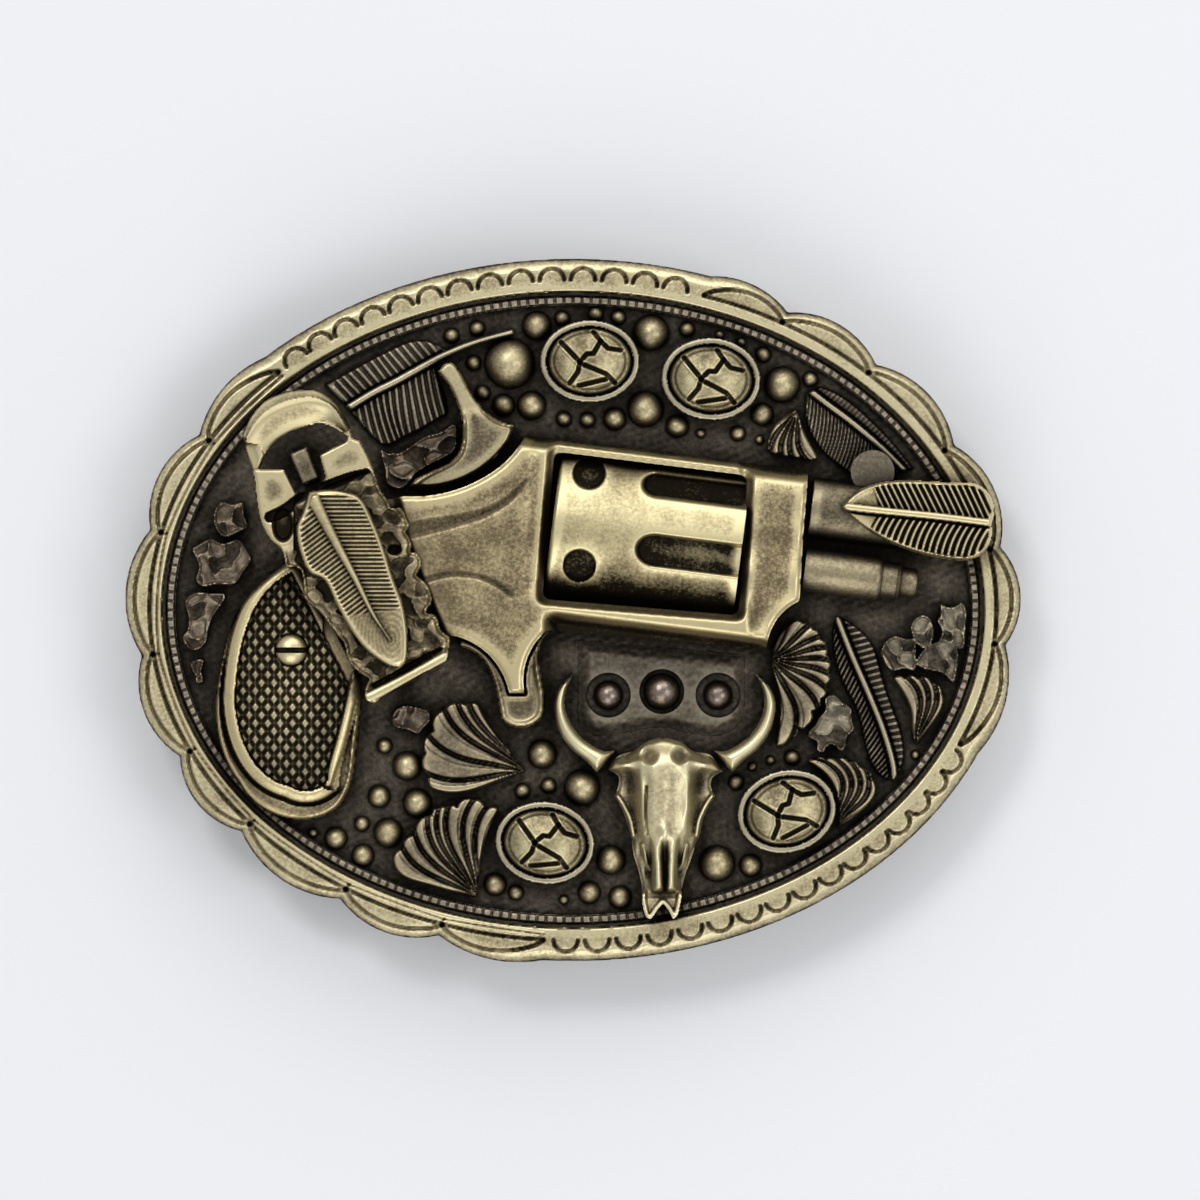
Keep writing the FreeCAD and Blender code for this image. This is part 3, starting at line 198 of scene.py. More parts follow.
def blurred(values, cells):
    """Box blur twice, each way, with the edge values carried on."""
    for _ in range(2):
        for axis in (0, 1):
            pad = [(0, 0), (0, 0)]
            pad[axis] = (cells + 1, cells)
            total = np.cumsum(np.pad(values, pad, mode="edge"), axis=axis)
            size = 2 * cells + 1
            count = values.shape[axis]
            first = np.take(total, range(0, count), axis=axis)
            last = np.take(total, range(size, size + count), axis=axis)
            values = (last - first) / size
    return values


class Grid:
    """Places on a square grid over some closed outlines, in mm, and their distances to lines."""

    def __init__(self, loops, step):
        points = np.vstack(loops)
        low = points.min(0) - 3 * step
        high = points.max(0) + 4 * step
        self.xs = np.arange(low[0], high[0], step)
        self.ys = np.arange(low[1], high[1], step)
        self.x, self.y = np.meshgrid(self.xs, self.ys, indexing="ij")
        self.inside = self.within(loops)
        self.depth = self.distance(*loops)

    def within(self, loops):
        inside = np.zeros(self.x.shape, bool)
        for loop in loops:
            for a, b in zip(loop, np.roll(loop, -1, 0)):
                low, high = (a, b) if a[1] < b[1] else (b, a)
                rows = slice(*np.searchsorted(self.ys, (low[1], high[1])))
                if rows.start < rows.stop:
                    share = (self.ys[rows] - low[1]) / (high[1] - low[1])
                    cross = low[0] + share * (high[0] - low[0])
                    inside[:, rows] ^= self.xs[:, None] < cross[None, :]
        return inside

    def along(self, path, reach=4.0, closed=False):
        """Distance to a path up to reach, the side, and how far along it the nearest place is."""
        nearest = np.full(self.x.shape, float(reach))
        side = np.ones(self.x.shape)
        travelled = np.zeros(self.x.shape)
        ends = np.roll(path, -1, 0) if closed else path[1:]
        gone = 0.0
        for a, b in zip(path, ends):
            step = b - a
            length = math.hypot(*step)
            if length < 1e-6:
                continue
            low = np.minimum(a, b) - reach
            high = np.maximum(a, b) + reach
            window = (
                slice(*np.searchsorted(self.xs, (low[0], high[0]))),
                slice(*np.searchsorted(self.ys, (low[1], high[1]))),
            )
            px = self.x[window] - a[0]
            py = self.y[window] - a[1]
            t = np.clip((px * step[0] + py * step[1]) / length**2, 0, 1)
            away = np.hypot(px - t * step[0], py - t * step[1])
            closer = away < nearest[window]
            nearest[window][closer] = away[closer]
            side[window][closer] = np.sign(step[0] * py - step[1] * px)[closer]
            travelled[window][closer] = (gone + t * length)[closer]
            gone += length
        return nearest, side, travelled

    def distance(self, *loops, reach=4.0):
        return np.minimum.reduce([self.along(loop, reach, closed=True)[0] for loop in loops])

    def to_path(self, *points, reach=4.0):
        return self.along(curve(*points), reach)[0]

    def cut(self, points, deep, half):
        """A groove along a smooth path through the points."""
        return groove(self.to_path(*points), deep, half)

    def waves(self, size, seed, count=9):
        """The uneven lumps at the grid's own places."""
        return waves(self.x, self.y, size, seed, count)


# ---- meshes

def new_piece(name, vertices, faces, wear_and_painted_light, nodes, material, slot, body="root", sharp=55):
    """A Blender object from vertices in mm, with its relief kept as a value at each vertex."""
    mesh = bpy.data.meshes.new(name)
    mesh.from_pydata((np.asarray(vertices, float) * MM).tolist(), [], faces)
    mesh.validate()
    mesh.update()
    attribute = mesh.attributes.new("relief", "FLOAT", "POINT")
    attribute.data.foreach_set("value", np.asarray(wear_and_painted_light, np.float32))
    mesh.shade_smooth()
    mesh.set_sharp_from_angle(angle=math.radians(sharp))
    mesh.materials.append(material)
    piece = bpy.data.objects.new(name, mesh)
    bpy.context.scene.collection.objects.link(piece)
    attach(piece, body)
    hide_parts(*nodes)
    return piece


def rim_corners(grid, height):
    """Where the outline crosses the grid's lines: the number, the place and the inner neighbour of each."""
    inside = grid.inside
    found = {}
    places = []
    neighbours = []
    for axis in (0, 1):
        first = inside[:-1, :] if axis == 0 else inside[:, :-1]
        second = inside[1:, :] if axis == 0 else inside[:, 1:]
        for i, j in np.argwhere(first != second):
            i2, j2 = (i + 1, j) if axis == 0 else (i, j + 1)
            d1, d2 = grid.depth[i, j], grid.depth[i2, j2]
            t = float(np.clip(d1 / max(d1 + d2, 1e-9), 0.04, 0.96))
            x = grid.x[i, j] * (1 - t) + grid.x[i2, j2] * t
            y = grid.y[i, j] * (1 - t) + grid.y[i2, j2] * t
            z = height[i2, j2] if inside[i, j] else height[i, j]
            found[(i, j, axis)] = len(places)
            places.append((x, y, z))
            neighbours.append((i, j) if inside[i, j] else (i2, j2))
    return found, places, neighbours


def evened(values, edges, times=3):
    """Values at the corners of the rim, each averaged a few times with the corners beside it."""
    values = np.array(values, float)
    after = np.arange(len(values))
    before = np.arange(len(values))
    for a, b in edges:
        after[a] = b
        before[b] = a
    for _ in range(times):
        values = 0.5 * values + 0.25 * (values[after] + values[before])
    return values


def relief_faces(grid, height, wear_and_painted_light, base, flip=False):
    """Vertices, faces and shading values (wear, patina and painted light) of a closed solid between the
    heights and a flat base.
    """
    inside = grid.inside
    number = np.full(inside.shape, -1)
    number[inside] = np.arange(inside.sum())
    crossings, rim, neighbours = rim_corners(grid, height)
    start = int(inside.sum())
    corners = [number[:-1, :-1], number[1:, :-1], number[1:, 1:], number[:-1, 1:]]
    held = np.stack([c >= 0 for c in corners])
    whole = held.all(0)
    faces = np.stack([c[whole] for c in corners], 1).tolist()
    edges = []
    for i, j in np.argwhere(held.any(0) & ~whole):
        ring = [(i, j), (i + 1, j), (i + 1, j + 1), (i, j + 1)]
        sides = [(i, j, 0), (i + 1, j, 1), (i, j + 1, 0), (i, j, 1)]
        face = []
        for k in range(4):
            here, after = ring[k], ring[(k + 1) % 4]
            if inside[here]:
                face.append(int(number[here]))
            if inside[here] != inside[after]:
                face.append(start + crossings[sides[k]])
        faces.append(face)
        edges += [(a, b) for a, b in zip(face, face[1:] + face[:1]) if a >= start and b >= start]
    ring = [(a - start, b - start) for a, b in edges]
    rim = evened(rim, ring)
    foot = np.column_stack([rim[:, :2], np.full(len(rim), base)])
    vertices = np.vstack([np.column_stack([grid.x[inside], grid.y[inside], height[inside]]), rim, foot])
    drop = len(rim)
    faces += [[b, a, a + drop, b + drop] for a, b in edges]
    faces += bottom_faces(vertices, edges, drop)
    if flip:
        faces = [face[::-1] for face in faces]
    rim_wear_and_painted_light = evened([wear_and_painted_light[place] for place in neighbours], ring, 6)
    # the foot of every wall is set darkest: painted shade where the piece meets the surface under it
    return vertices, faces, np.concatenate([wear_and_painted_light[inside], rim_wear_and_painted_light, np.full(drop, -1.0)])


def area(points):
    """The area inside a loop of corners, negative when they run clockwise."""
    x, y = points[:, 0], points[:, 1]
    return 0.5 * np.sum(x * np.roll(y, -1) - np.roll(x, -1) * y)


def islands(vertices, loops):
    """The loops in groups: each outer loop, and the holes inside it."""
    loops = sorted(loops, key=lambda loop: -abs(area(vertices[loop])))
    turn = area(vertices[loops[0]])
    groups = [[loop] for loop in loops if area(vertices[loop]) * turn > 0]
    for hole in (loop for loop in loops if area(vertices[loop]) * turn < 0):
        point = vertices[hole[0], :2]
        for group in reversed(groups):
            outer = vertices[group[0], :2]
            if (point > outer.min(0)).all() and (point < outer.max(0)).all():
                group.append(hole)
                break
    return groups


def bottom_faces(vertices, edges, drop):
    """The flat underside of a relief, island by island."""
    follow = dict(edges)
    loops = []
    while follow:
        here = next(iter(follow))
        loop = []
        while here in follow:
            loop.append(here)
            here = follow.pop(here)
        loops.append(loop)
    faces = []
    for group in islands(vertices, loops):
        order = [index + drop for loop in group for index in loop]
        shape = [[Vector((vertices[i][0], vertices[i][1], 0)) for i in loop] for loop in group]
        for triangle in tessellate_polygon(shape):
            a, b, c = [order[k] for k in triangle]
            faces.append([c, b, a] if area(vertices[[a, b, c]]) > 0 else [a, b, c])
    return faces


def tube_faces(rings, count, start=0):
    """Faces between rings of corners that follow one another, from the corner numbered start."""
    faces = []
    for ring in range(rings - 1):
        for k in range(count):
            a = start + ring * count + k
            b = start + ring * count + (k + 1) % count
            faces.append([a, b, b + count, a + count])
    return faces


def relief(name, nodes, loops, shape, material, slot="antique_relief", base=FOOT, step=0.15, body="root",
           place=None, around=None, flip=False, reach=0.8, strength=0.3, tone=None):
    """An ornament whose shape(grid) gives its heights above a flat base.

    place is x, y and a turn in degrees. A point is brighter by how far it stands above the blurred heights
    within reach, where around is the height outside the outline: wear on raised parts and patina in hollows.
    tone(grid) is added to that, and on the drum, the stones and the grip panel it holds painted highlights
    and painted shade."""
    grid = Grid(loops, step)
    height = shape(grid)
    level = base if around is None else around
    filled = np.where(grid.inside, height, level)
    wear_and_painted_light = (filled - blurred(filled, max(1, round(reach / step)))) / strength
    if flip:
        wear_and_painted_light = -wear_and_painted_light
    if tone:
        wear_and_painted_light += tone(grid)
    vertices, faces, values = relief_faces(grid, height, np.clip(wear_and_painted_light, -1, 1), base, flip)
    if place:
        x, y, degrees = place
        c, s = math.cos(math.radians(degrees)), math.sin(math.radians(degrees))
        flat = vertices[:, :2].copy()
        vertices[:, 0] = x + c * flat[:, 0] - s * flat[:, 1]
        vertices[:, 1] = y + s * flat[:, 0] + c * flat[:, 1]
    return new_piece(name, vertices, faces, values, nodes, material, slot, body)


# ---- materials

def antique(name, bright, middle, dark=(0.022, 0.018, 0.011), lean=0.0, rough=(0.62, 0.36), grain=1.0,
            speckle=1.0):
    """Antiqued brass: dark patina in hollows and between pieces, with painted occlusion shade there too, and
    bright on raised edges where the finish wears off.
    """
    material = bpy.data.materials.new(name)
    material.use_nodes = True
    tree = material.node_tree
    shader = tree.nodes["Principled BSDF"]

    def feed(node, inputs):
        """Gives each named or numbered input a value, or a link where the value is an output."""
        for name, value in inputs.items():
            if isinstance(value, bpy.types.NodeSocket):
                tree.links.new(value, node.inputs[name])
            else:
                node.inputs[name].default_value = value

    def add(kind, output, inputs):
        node = tree.nodes.new("ShaderNode" + kind)
        feed(node, inputs)
        return node.outputs[output]

    place = add("TexCoord", "Object", {})

    def noise(scale, detail, roughness=0.6):
        return add("TexNoise", "Fac",
                   {"Vector": place, "Scale": scale, "Detail": detail, "Roughness": roughness})

    def maths(operation, first, second):
        result = add("Math", 0, {0: first, 1: second})
        result.node.operation = operation
        return result

    def flecks(fineness, amount):
        return maths("MULTIPLY", maths("SUBTRACT", fineness, 0.5), amount * speckle)

    raised = add("Attribute", "Fac", {})
    raised.node.attribute_name = "relief"
    # ambient occlusion darkens the colour in crevices and between pieces: dark patina there, and painted
    # shade
    patina_and_occlusion_shade = add("AmbientOcclusion", "AO", {"Distance": 0.003})
    patina_and_occlusion_shade.node.samples = 6
    level = maths("ADD", maths("MULTIPLY", raised, 0.42), 0.5 + lean)
    level = maths("ADD", level, maths("ADD", flecks(noise(260, 3), 0.45), flecks(noise(2600, 4, 0.75), 0.75)))
    level = maths("MULTIPLY", level, maths("POWER", patina_and_occlusion_shade, 1.6))
    colour = add("ValToRGB", "Color", {"Fac": level})
    stops = colour.node.color_ramp.elements
    stops[0].position = 0.08
    stops[0].color = (*dark, 1)
    stops[1].position = 0.86
    stops[1].color = (*bright, 1)
    stops.new(0.46).color = (*middle, 1)
    spread = add("MapRange", "Result", {"Value": level, "To Min": rough[0], "To Max": rough[1]})
    bump = add("Bump", "Normal",
               {"Strength": 0.35 * grain, "Distance": 0.00006, "Height": noise(3200, 5, 0.7)})
    feed(shader, {"Metallic": 1.0, "Base Color": colour, "Roughness": spread, "Normal": bump})
    return material


HIGH = antique("worn_high_relief", (0.72, 0.62, 0.36), (0.29, 0.235, 0.135), lean=0.05)
FACE = antique("worn_flat_faces", (0.72, 0.61, 0.34), (0.21, 0.163, 0.095), speckle=1.3)
DRUM = antique("rubbed_drum", (0.80, 0.70, 0.40), (0.36, 0.295, 0.165), (0.014, 0.011, 0.007), speckle=1.2)
CAST = antique("rough_cast_plate", (0.72, 0.62, 0.36), (0.23, 0.183, 0.11))
BRASS = antique("rubbed_stones", (0.72, 0.63, 0.37), (0.20, 0.163, 0.095))
BEAD = antique("rubbed_beads", (0.74, 0.64, 0.38), (0.22, 0.178, 0.105), (0.014, 0.011, 0.007))
FAN = antique("rubbed_fans", (0.52, 0.44, 0.275), (0.15, 0.121, 0.082), (0.016, 0.013, 0.009))
ROCK = antique("brown_rock", (0.44, 0.36, 0.25), (0.12, 0.093, 0.068), (0.016, 0.012, 0.009), lean=-0.02)
WIRE = antique("milled_wire", (0.44, 0.38, 0.27), (0.17, 0.14, 0.105), (0.03, 0.024, 0.018), lean=0.1)
DULL = antique("dull_flat_faces", (0.62, 0.53, 0.31), (0.165, 0.13, 0.085), (0.020, 0.016, 0.011),
               lean=-0.02, speckle=1.1)
BONE = antique("rubbed_skull", (0.88, 0.79, 0.49), (0.37, 0.305, 0.185), (0.030, 0.024, 0.016), lean=0.08)
LOW = antique("dull_low_relief", (0.52, 0.46, 0.31), (0.17, 0.142, 0.105), (0.014, 0.011, 0.008),
              lean=-0.02)
EDGE = antique("rubbed_rim", (0.76, 0.67, 0.41), (0.33, 0.268, 0.155), (0.024, 0.019, 0.012),
               lean=0.03, speckle=1.6)
GROUND = antique("dark_pebbled_field", (0.27, 0.235, 0.175), (0.112, 0.094, 0.071), (0.012, 0.011, 0.009),
                 lean=-0.04, rough=(0.7, 0.5), grain=3.0)
STUD = antique("dark_studs", (0.40, 0.33, 0.27), (0.11, 0.085, 0.068), (0.012, 0.010, 0.008),
               lean=-0.02, rough=(0.45, 0.25))
CHECKS = antique("checkered_grip", (0.60, 0.52, 0.31), (0.17, 0.14, 0.088), (0.018, 0.015, 0.010),
                 lean=-0.02)
DARK = antique("dark_hardware_brass", (0.42, 0.355, 0.22), (0.09, 0.073, 0.05), (0.012, 0.010, 0.007),
               lean=-0.05)
REAR = antique("satin_back_brass", (0.60, 0.53, 0.33), (0.36, 0.31, 0.19), (0.03, 0.025, 0.015),
               lean=0.05, grain=1.6)


# ---- plate

PLATE_EDGE = outlines_of("base_plate", BACK)[0]
FIELD_EDGE = outlines_of("base_plate", FIELD)[0]
BACK_EDGE = outlines_of("base_plate", RECESS)[0]
RIM_WIDTH = 3.7
HALF_LENGTH, HALF_WIDTH = FIELD_EDGE.max(0) + RIM_WIDTH
CRESCENT_INSET, CRESCENT_RADIUS = 2.35, 1.35
WIRE_INSET = 4.6
# the points of the scallops, in degrees round the oval
CUSPS_RIGHT = [336.0, 354.1, 370.6, 388.8, 405.8, 420.4, 432.0]
CUSPS_LEFT = [134.0, 149.2, 166.4, 187.7, 205.3, 220.3, 237.6, 252.0, 266.0]


def on_oval(degrees, inset):
    turn = math.radians(degrees)
    return ((HALF_LENGTH - inset) * math.cos(turn), (HALF_WIDTH - inset) * math.sin(turn))


def lobe_line(first, last, at_cusps, at_middle, count=14):
    """An engraved line from cusp to cusp, whose inset from the oval changes towards the middle."""
    shares = np.linspace(0, 1, count)
    insets = at_cusps + (at_middle - at_cusps) * np.sin(math.pi * shares) ** 0.75
    return [on_oval(first + (last - first) * s, inset) for s, inset in zip(shares, insets)]


def crescents(first, last, count):
    """Half rings that stand side by side along the oval."""
    for k in range(count):
        degrees = first + (last - first) * k / (count - 1)
        cx, cy = on_oval(degrees, CRESCENT_INSET)
        nx, ny = HALF_WIDTH * cx, HALF_LENGTH * cy * HALF_LENGTH / HALF_WIDTH
        length = math.hypot(nx, ny)
        nx, ny = nx / length, ny / length
        ring = []
        for turn in np.linspace(0, math.pi, 11):
            across = CRESCENT_RADIUS * math.cos(turn)
            up = CRESCENT_RADIUS * 0.95 * math.sin(turn)
            ring.append((cx - ny * across + nx * up, cy + nx * across + ny * up))
        yield ring


def rim_shape(grid):
    outer = grid.distance(PLATE_EDGE)
    inner = grid.distance(FIELD_EDGE)
    z = RIM_TOP + rounded(outer, 1.5, 1.3) + rounded(inner, 0.9, 0.25)
    z += 0.04 * smooth(0.35, 0.1, np.abs(outer - 1.25))
    z += 0.03 * grid.waves(2.0, 3)

    def engrave(line, deep, half):
        return groove(grid.to_path(*line, reach=1), deep, half)

    for cusps in (CUSPS_RIGHT, CUSPS_LEFT):
        for first, last in zip(cusps, cusps[1:]):
            z += engrave(lobe_line(first, last, 2.2, 0.6), 0.36, 0.27)
            z += engrave(lobe_line(first, last, 2.35, 2.3), 0.34, 0.25)
            if cusps is CUSPS_LEFT:
                z += engrave(lobe_line(first, last, 2.9, 3.1), 0.2, 0.17)
    for ring in (*crescents(130.8, 76.0, 14), *crescents(269.0, 332.9, 16)):
        z += engrave(ring, 0.34, 0.25)
    return np.maximum(z, FIELD + 0.1)


def make_plate():
    def plate_relief(name, loops, shape, base, material, **more):
        relief(name, ["base_plate"], loops, shape, material, "antique_plate", base, **more)

    def field_shape(grid):
        pebbles = grid.waves(0.45, 11, 14) * 0.1 + grid.waves(1.6, 12) * 0.06
        return FIELD + pebbles - 0.06 + 0.75 * smooth(0.75, 0.35, grid.depth)

    def back_shape(grid):
        cast = grid.waves(1.2, 21, 12) * 0.035 + grid.waves(6.0, 22) * 0.05
        return RECESS + 0.04 + cast + rounded(grid.depth, RECESS - BACK, 0.6)

    def border_shape(grid):
        return BACK - rounded(grid.depth, 0.2, 0.3) + 0.02 * grid.waves(1.5, 23)

    plate_relief("rim", [PLATE_EDGE, FIELD_EDGE], rim_shape, BACK + 0.25, EDGE, step=0.14, around=FIELD + 0.9)
    plate_relief("field", [FIELD_EDGE * 1.001], field_shape, RECESS + 0.25, GROUND, step=0.25, around=FIELD)
    plate_relief("back_hollow", [BACK_EDGE * 1.001], back_shape, RECESS + 0.3, REAR, step=0.35,
                 around=RECESS, flip=True)
    plate_relief("back_border", [PLATE_EDGE * 0.999, BACK_EDGE], border_shape, RECESS + 0.3, REAR,
                 step=0.2, around=BACK, flip=True)


def make_beaded_border():
    middle = oval(HALF_LENGTH - WIRE_INSET, HALF_WIDTH - WIRE_INSET, count=900)
    total = np.hypot(*(np.roll(middle, -1, 0) - middle).T).sum()
    pitch = total / round(total)

    def shape(grid):
        away, _side, travelled = grid.along(middle, 1.0, closed=True)
        share = np.abs((travelled / pitch) % 1 - 0.5)
        grain = smooth(0.44, 0.30, share) * smooth(0.42, 0.28, away)
        return FIELD + 0.95 + 0.22 * grain - 0.25 * smooth(0.36, 0.44, away) + 0.05 * grid.waves(0.5, 5)

    relief("beaded_wire", ["beaded_border"], outlines_of("beaded_border", FIELD), shape, WIRE,
           step=0.11, around=FIELD + 0.6, reach=0.4, strength=0.5)


# ---- revolver ornament

SLOPE = -7.2  # direction of the barrel line, in degrees
FALL = 0.126  # how far that line drops in each mm


def barrel_line_box(node):
    """Middle, half length and half width of a CAD block that is turned to the barrel line."""
    low, high = corners_of(node)
    c, s = math.cos(math.radians(SLOPE)), -math.sin(math.radians(SLOPE))
    wide, tall = high.x - low.x, high.y - low.y
    length = (wide * c - tall * s) / (c * c - s * s)
    width = (tall * c - wide * s) / (c * c - s * s)
    return ((low.x + high.x) / 2, (low.y + high.y) / 2, SLOPE), length / 2, width / 2


def make_gun_frame():
    """The frame's opening in the relief is a little smaller than the window, for its sloping walls."""
    top = heights("gun_frame")[1]
    outer, window = outlines_of("gun_frame")[:2]
    middle = window.mean(0)
    opening = middle + (window - middle) * (1 - 0.55 / np.abs(window - middle).max(0))
    seam = curve((-18.9, 12.6), (-17.5, 6.5), (-13.8, -2.6))

    def shape(grid):
        x, y = grid.x, grid.y
        away = grid.distance(outer)
        hole = grid.distance(window)
        level = y + FALL * x
        outer_level = (outer[:, 1] + FALL * outer[:, 0])[outer[:, 0] > -1.5]
        upper_wall = drafted(outer_level.max() - level, 3.2, 1.35)
        lower_wall = drafted(level - outer_level.min(), 3.2, 1.1) * smooth(-3.5, -1.5, x)
        z = top + np.minimum(rounded(away, 1.0, 0.35), np.minimum(upper_wall, lower_wall))
        z += np.where(grid.within([window]), -0.9 - 1.1 * np.clip(hole, 0, 1), rounded(hole, 0.6, 0.35))
        end_block = smooth(19.0, 19.8, x + 0.06 * y)
        z += end_block * (0.32 * np.cos((level - 14.9) * 2 * math.pi / 8.6) - 0.28)
        band = smooth(-6.2, -4.6, x - 0.06 * y) * smooth(-2.6, -3.6, x - 0.06 * y) * smooth(1.0, 3.5, y)
        z -= 0.3 * band
        strap = curve((-18.4, 8.7), (-14, 9.6), (-10, 10.6), (-7.2, 12.1), (-5.0, 14.3))
        recess, _side, gone = grid.along(strap, 3.0)
        half = 1.0 - 0.05 * gone
        z -= 0.3 * smooth(0.0, 0.22, half - recess)
        arc = [(-16.5, 3.2), (-14.5, 3.8), (-12.5, 4.0), (-10, 3.6), (-8, 2.6), (-6.8, 1.5)]
        ridge = [(-16.5, 2.7), (-14.5, 3.3), (-12.5, 3.5), (-10, 3.1), (-8.2, 2.2), (-7.0, 1.3)]
        z += grid.cut(arc, 0.32, 0.32)
        z -= grid.cut(ridge, 0.12, 0.3)
        behind, side, _gone = grid.along(seam, 30.0)
        neck = (side < 0) & (x < -13.0)
        z = np.where(neck, np.minimum(z, top - 1.3 * smooth(0.0, 0.8, behind)), z)
        return blurred(z + 0.02 * waves(x, y, 2.0, 31), 1)

    relief("revolver_frame", ["gun_frame"], [outer, opening], shape, FACE, "antique_high_relief",
           step=0.14, around=FIELD + 2.5)


def make_gun_drum():
    top = heights("gun_drum")[1]
    radius = 9.5
    axis = top - radius
    place, half_length, half_width = barrel_line_box("gun_drum")
    loops = [block(-half_length, half_length + 0.35, half_width)]

    def hollows(grid):
        """How deep the two round notches and the two flutes go."""
        u, v = grid.x, grid.y
        deep = np.zeros(u.shape)
        for cu, cv in ((-7.0, 5.9), (-6.8, -4.3)):
            deep += 0.8 * smooth(1.85, 1.6, np.hypot(u - cu, v - cv))
        for cv, half, tip in ((5.5, 1.5, 0.6), (-1.6, 1.95, 1.3)):
            end = np.clip(tip - u, 0, None) * 0.8
            away = np.hypot(end, v - cv)
            deep += 0.9 * smooth(half, half - 0.6, away) + 0.3 * np.clip(1 - (away / half) ** 2, 0, 1)
        return deep

    def shape(grid):
        u, v = grid.x, grid.y
        z = axis + np.sqrt(radius**2 - v**2) - hollows(grid)
        return z + rounded(half_length + u, 0.5, 0.4) + 0.015 * waves(u, v, 1.2, 41)

    def tone(grid):
        """A painted highlight band along the middle, painted shade at the sides, and darker in the notches
        and flutes.
        """
        return 0.4 - 1.8 * np.clip(np.abs(grid.y - 1.5) / half_width, 0, 1) ** 2.0 - 0.6 * hollows(grid)

    relief("revolver_drum", ["gun_drum"], loops, shape, DRUM, "antique_high_relief",
           step=0.13, place=place, around=top - 3, tone=tone)


def make_gun_barrel():
    place, half_length, radius = barrel_line_box("gun_barrel")
    axis = heights("gun_barrel")[1] - radius

    def shape(grid):
        z = axis + np.sqrt(np.clip(radius**2 - grid.y**2, 0.02, None))
        return z + 0.015 * grid.waves(1.5, 45)

    relief("revolver_barrel", ["gun_barrel"], [block(-half_length, half_length, radius)], shape, DARK,
           place=place, around=axis + 1.4)


def make_gun_drum_pin():
    steps = [(0, 2.4), (8.1, 2.4), (8.35, 2.3), (8.6, 2.0), (10.2, 2.0), (10.4, 2.15),
             (10.6, 1.95), (10.7, 1.6), (12.1, 1.6), (12.4, 1.45), (12.6, 1.0)]
    low, high = corners_of("gun_drum_pin")
    radius = steps[0][1]
    start = (low.x - radius * math.sin(math.radians(SLOPE)),
             high.y - radius * math.cos(math.radians(SLOPE)), (low.z + high.z) / 2)
    turned("revolver_drum_pin", ["gun_drum_pin"], steps, start, DARK)


def turned(name, nodes, steps, start, material, slot="antique_relief", count=72):
    """A turned pin lying along the barrel line; steps are distance along it and radius."""
    c, s = math.cos(math.radians(SLOPE)), math.sin(math.radians(SLOPE))
    profile = []
    for (a, ra), (b, rb) in zip(steps, steps[1:]):
        parts = max(1, int(abs(b - a) / 0.4))
        profile += [(a + (b - a) * k / parts, ra + (rb - ra) * k / parts) for k in range(parts)]
    profile.append(steps[-1])
    vertices = []
    for along, radius in profile:
        for k in range(count):
            turn = 2 * math.pi * k / count
            across, up = radius * math.cos(turn), radius * math.sin(turn)
            vertices.append((start[0] + c * along - s * across, start[1] + s * along + c * across,
                             start[2] + up))
    faces = tube_faces(len(profile), count)
    faces.append(list(range(count))[::-1])
    faces.append([(len(profile) - 1) * count + k for k in range(count)])
    # lighter on top and darker underneath: a painted highlight and painted shade
    wear_and_painted_light = np.clip((np.array(vertices)[:, 2] - start[2]) / 3.0, -1, 1)
    return new_piece(name, vertices, faces, wear_and_painted_light, nodes, material, slot, sharp=35)


def make_hammer():
    top = heights("gun_hammer")[1]

    def shape(grid):
        lip = grid.to_path((-18.0, 13.7), (-16.0, 15.0), (-13.2, 16.5), (-12.2, 18.4), (-12.4, 22.0),
                           (-13.6, 24.9), (-14.6, 26.4), (-13.3, 26.9), (-12.1, 25.6), (-10.9, 23.4),
                           (-8.6, 21.1), (-6.6, 20.4))
        spur = smooth(20.0, 22.5, grid.y - 0.4 * (grid.x + 12))
        sunk = top - 0.55 * smooth(0.2, 0.6, lip)
        z = sunk * (1 - spur) + (top - 0.08) * spur
        return z + rounded(grid.depth, 1.2, 0.35)

    relief("revolver_hammer", ["gun_hammer"], outlines_of("gun_hammer"), shape, DULL,
           "antique_high_relief", around=FIELD + 2)


def make_trigger():
    top = heights("gun_trigger")[1]

    def shape(grid):
        z = top - 0.35 * smooth(0.3, 0.9, grid.depth) + rounded(grid.depth, 1.5, 0.4)
        return np.minimum(z, top)

    relief("revolver_trigger", ["gun_trigger"], outlines_of("gun_trigger"), shape, DULL,
           "antique_high_relief", around=FIELD + 1.5)


# ---- grip

def make_grip_frame():
    low, top = heights("grip_frame")
    outer = outlines_of("grip_frame")[0]
    seat = outlines_of("grip_panel")[0]

    def frame_shape(grid):
        x, y = grid.x, grid.y
        away = grid.distance(outer)
        inner = grid.distance(seat)
        z = low + 2.5 + 0.62 * np.clip(away, 0, 2.4)
        z += 0.5 * smooth(0.55, 0.1, np.abs(away - 0.3))
        band = top - 0.12 - 0.5 * np.clip(inner - 0.35, 0, None) ** 1.5
        z = np.where(inner < 1.35, np.maximum(z, band), z)
        strap = smooth(-28.3, -26.8, x) * smooth(-20.5, -19.0, y)
        crease = smooth(0.32, 0.1, np.abs(inner - 1.45)) * (1 - strap)
        z -= 0.55 * crease
        ridge = grid.to_path((-23.8, -7.2), (-24.6, -10.5), (-25.6, -14.5), (-27.0, -19.0))
        z = np.where(strap > 0.5, np.minimum(z, top - 0.9 + 0.8 * smooth(0.75, 0.2, ridge)), z)
        return np.minimum(z, top) + rounded(away, 1.5, 0.4) + rounded(inner, 0.3, 0.2)

    relief("grip_rim", ["grip_frame"], [outer, seat], frame_shape, FACE, "antique_high_relief",
           around=FIELD + 1.5)


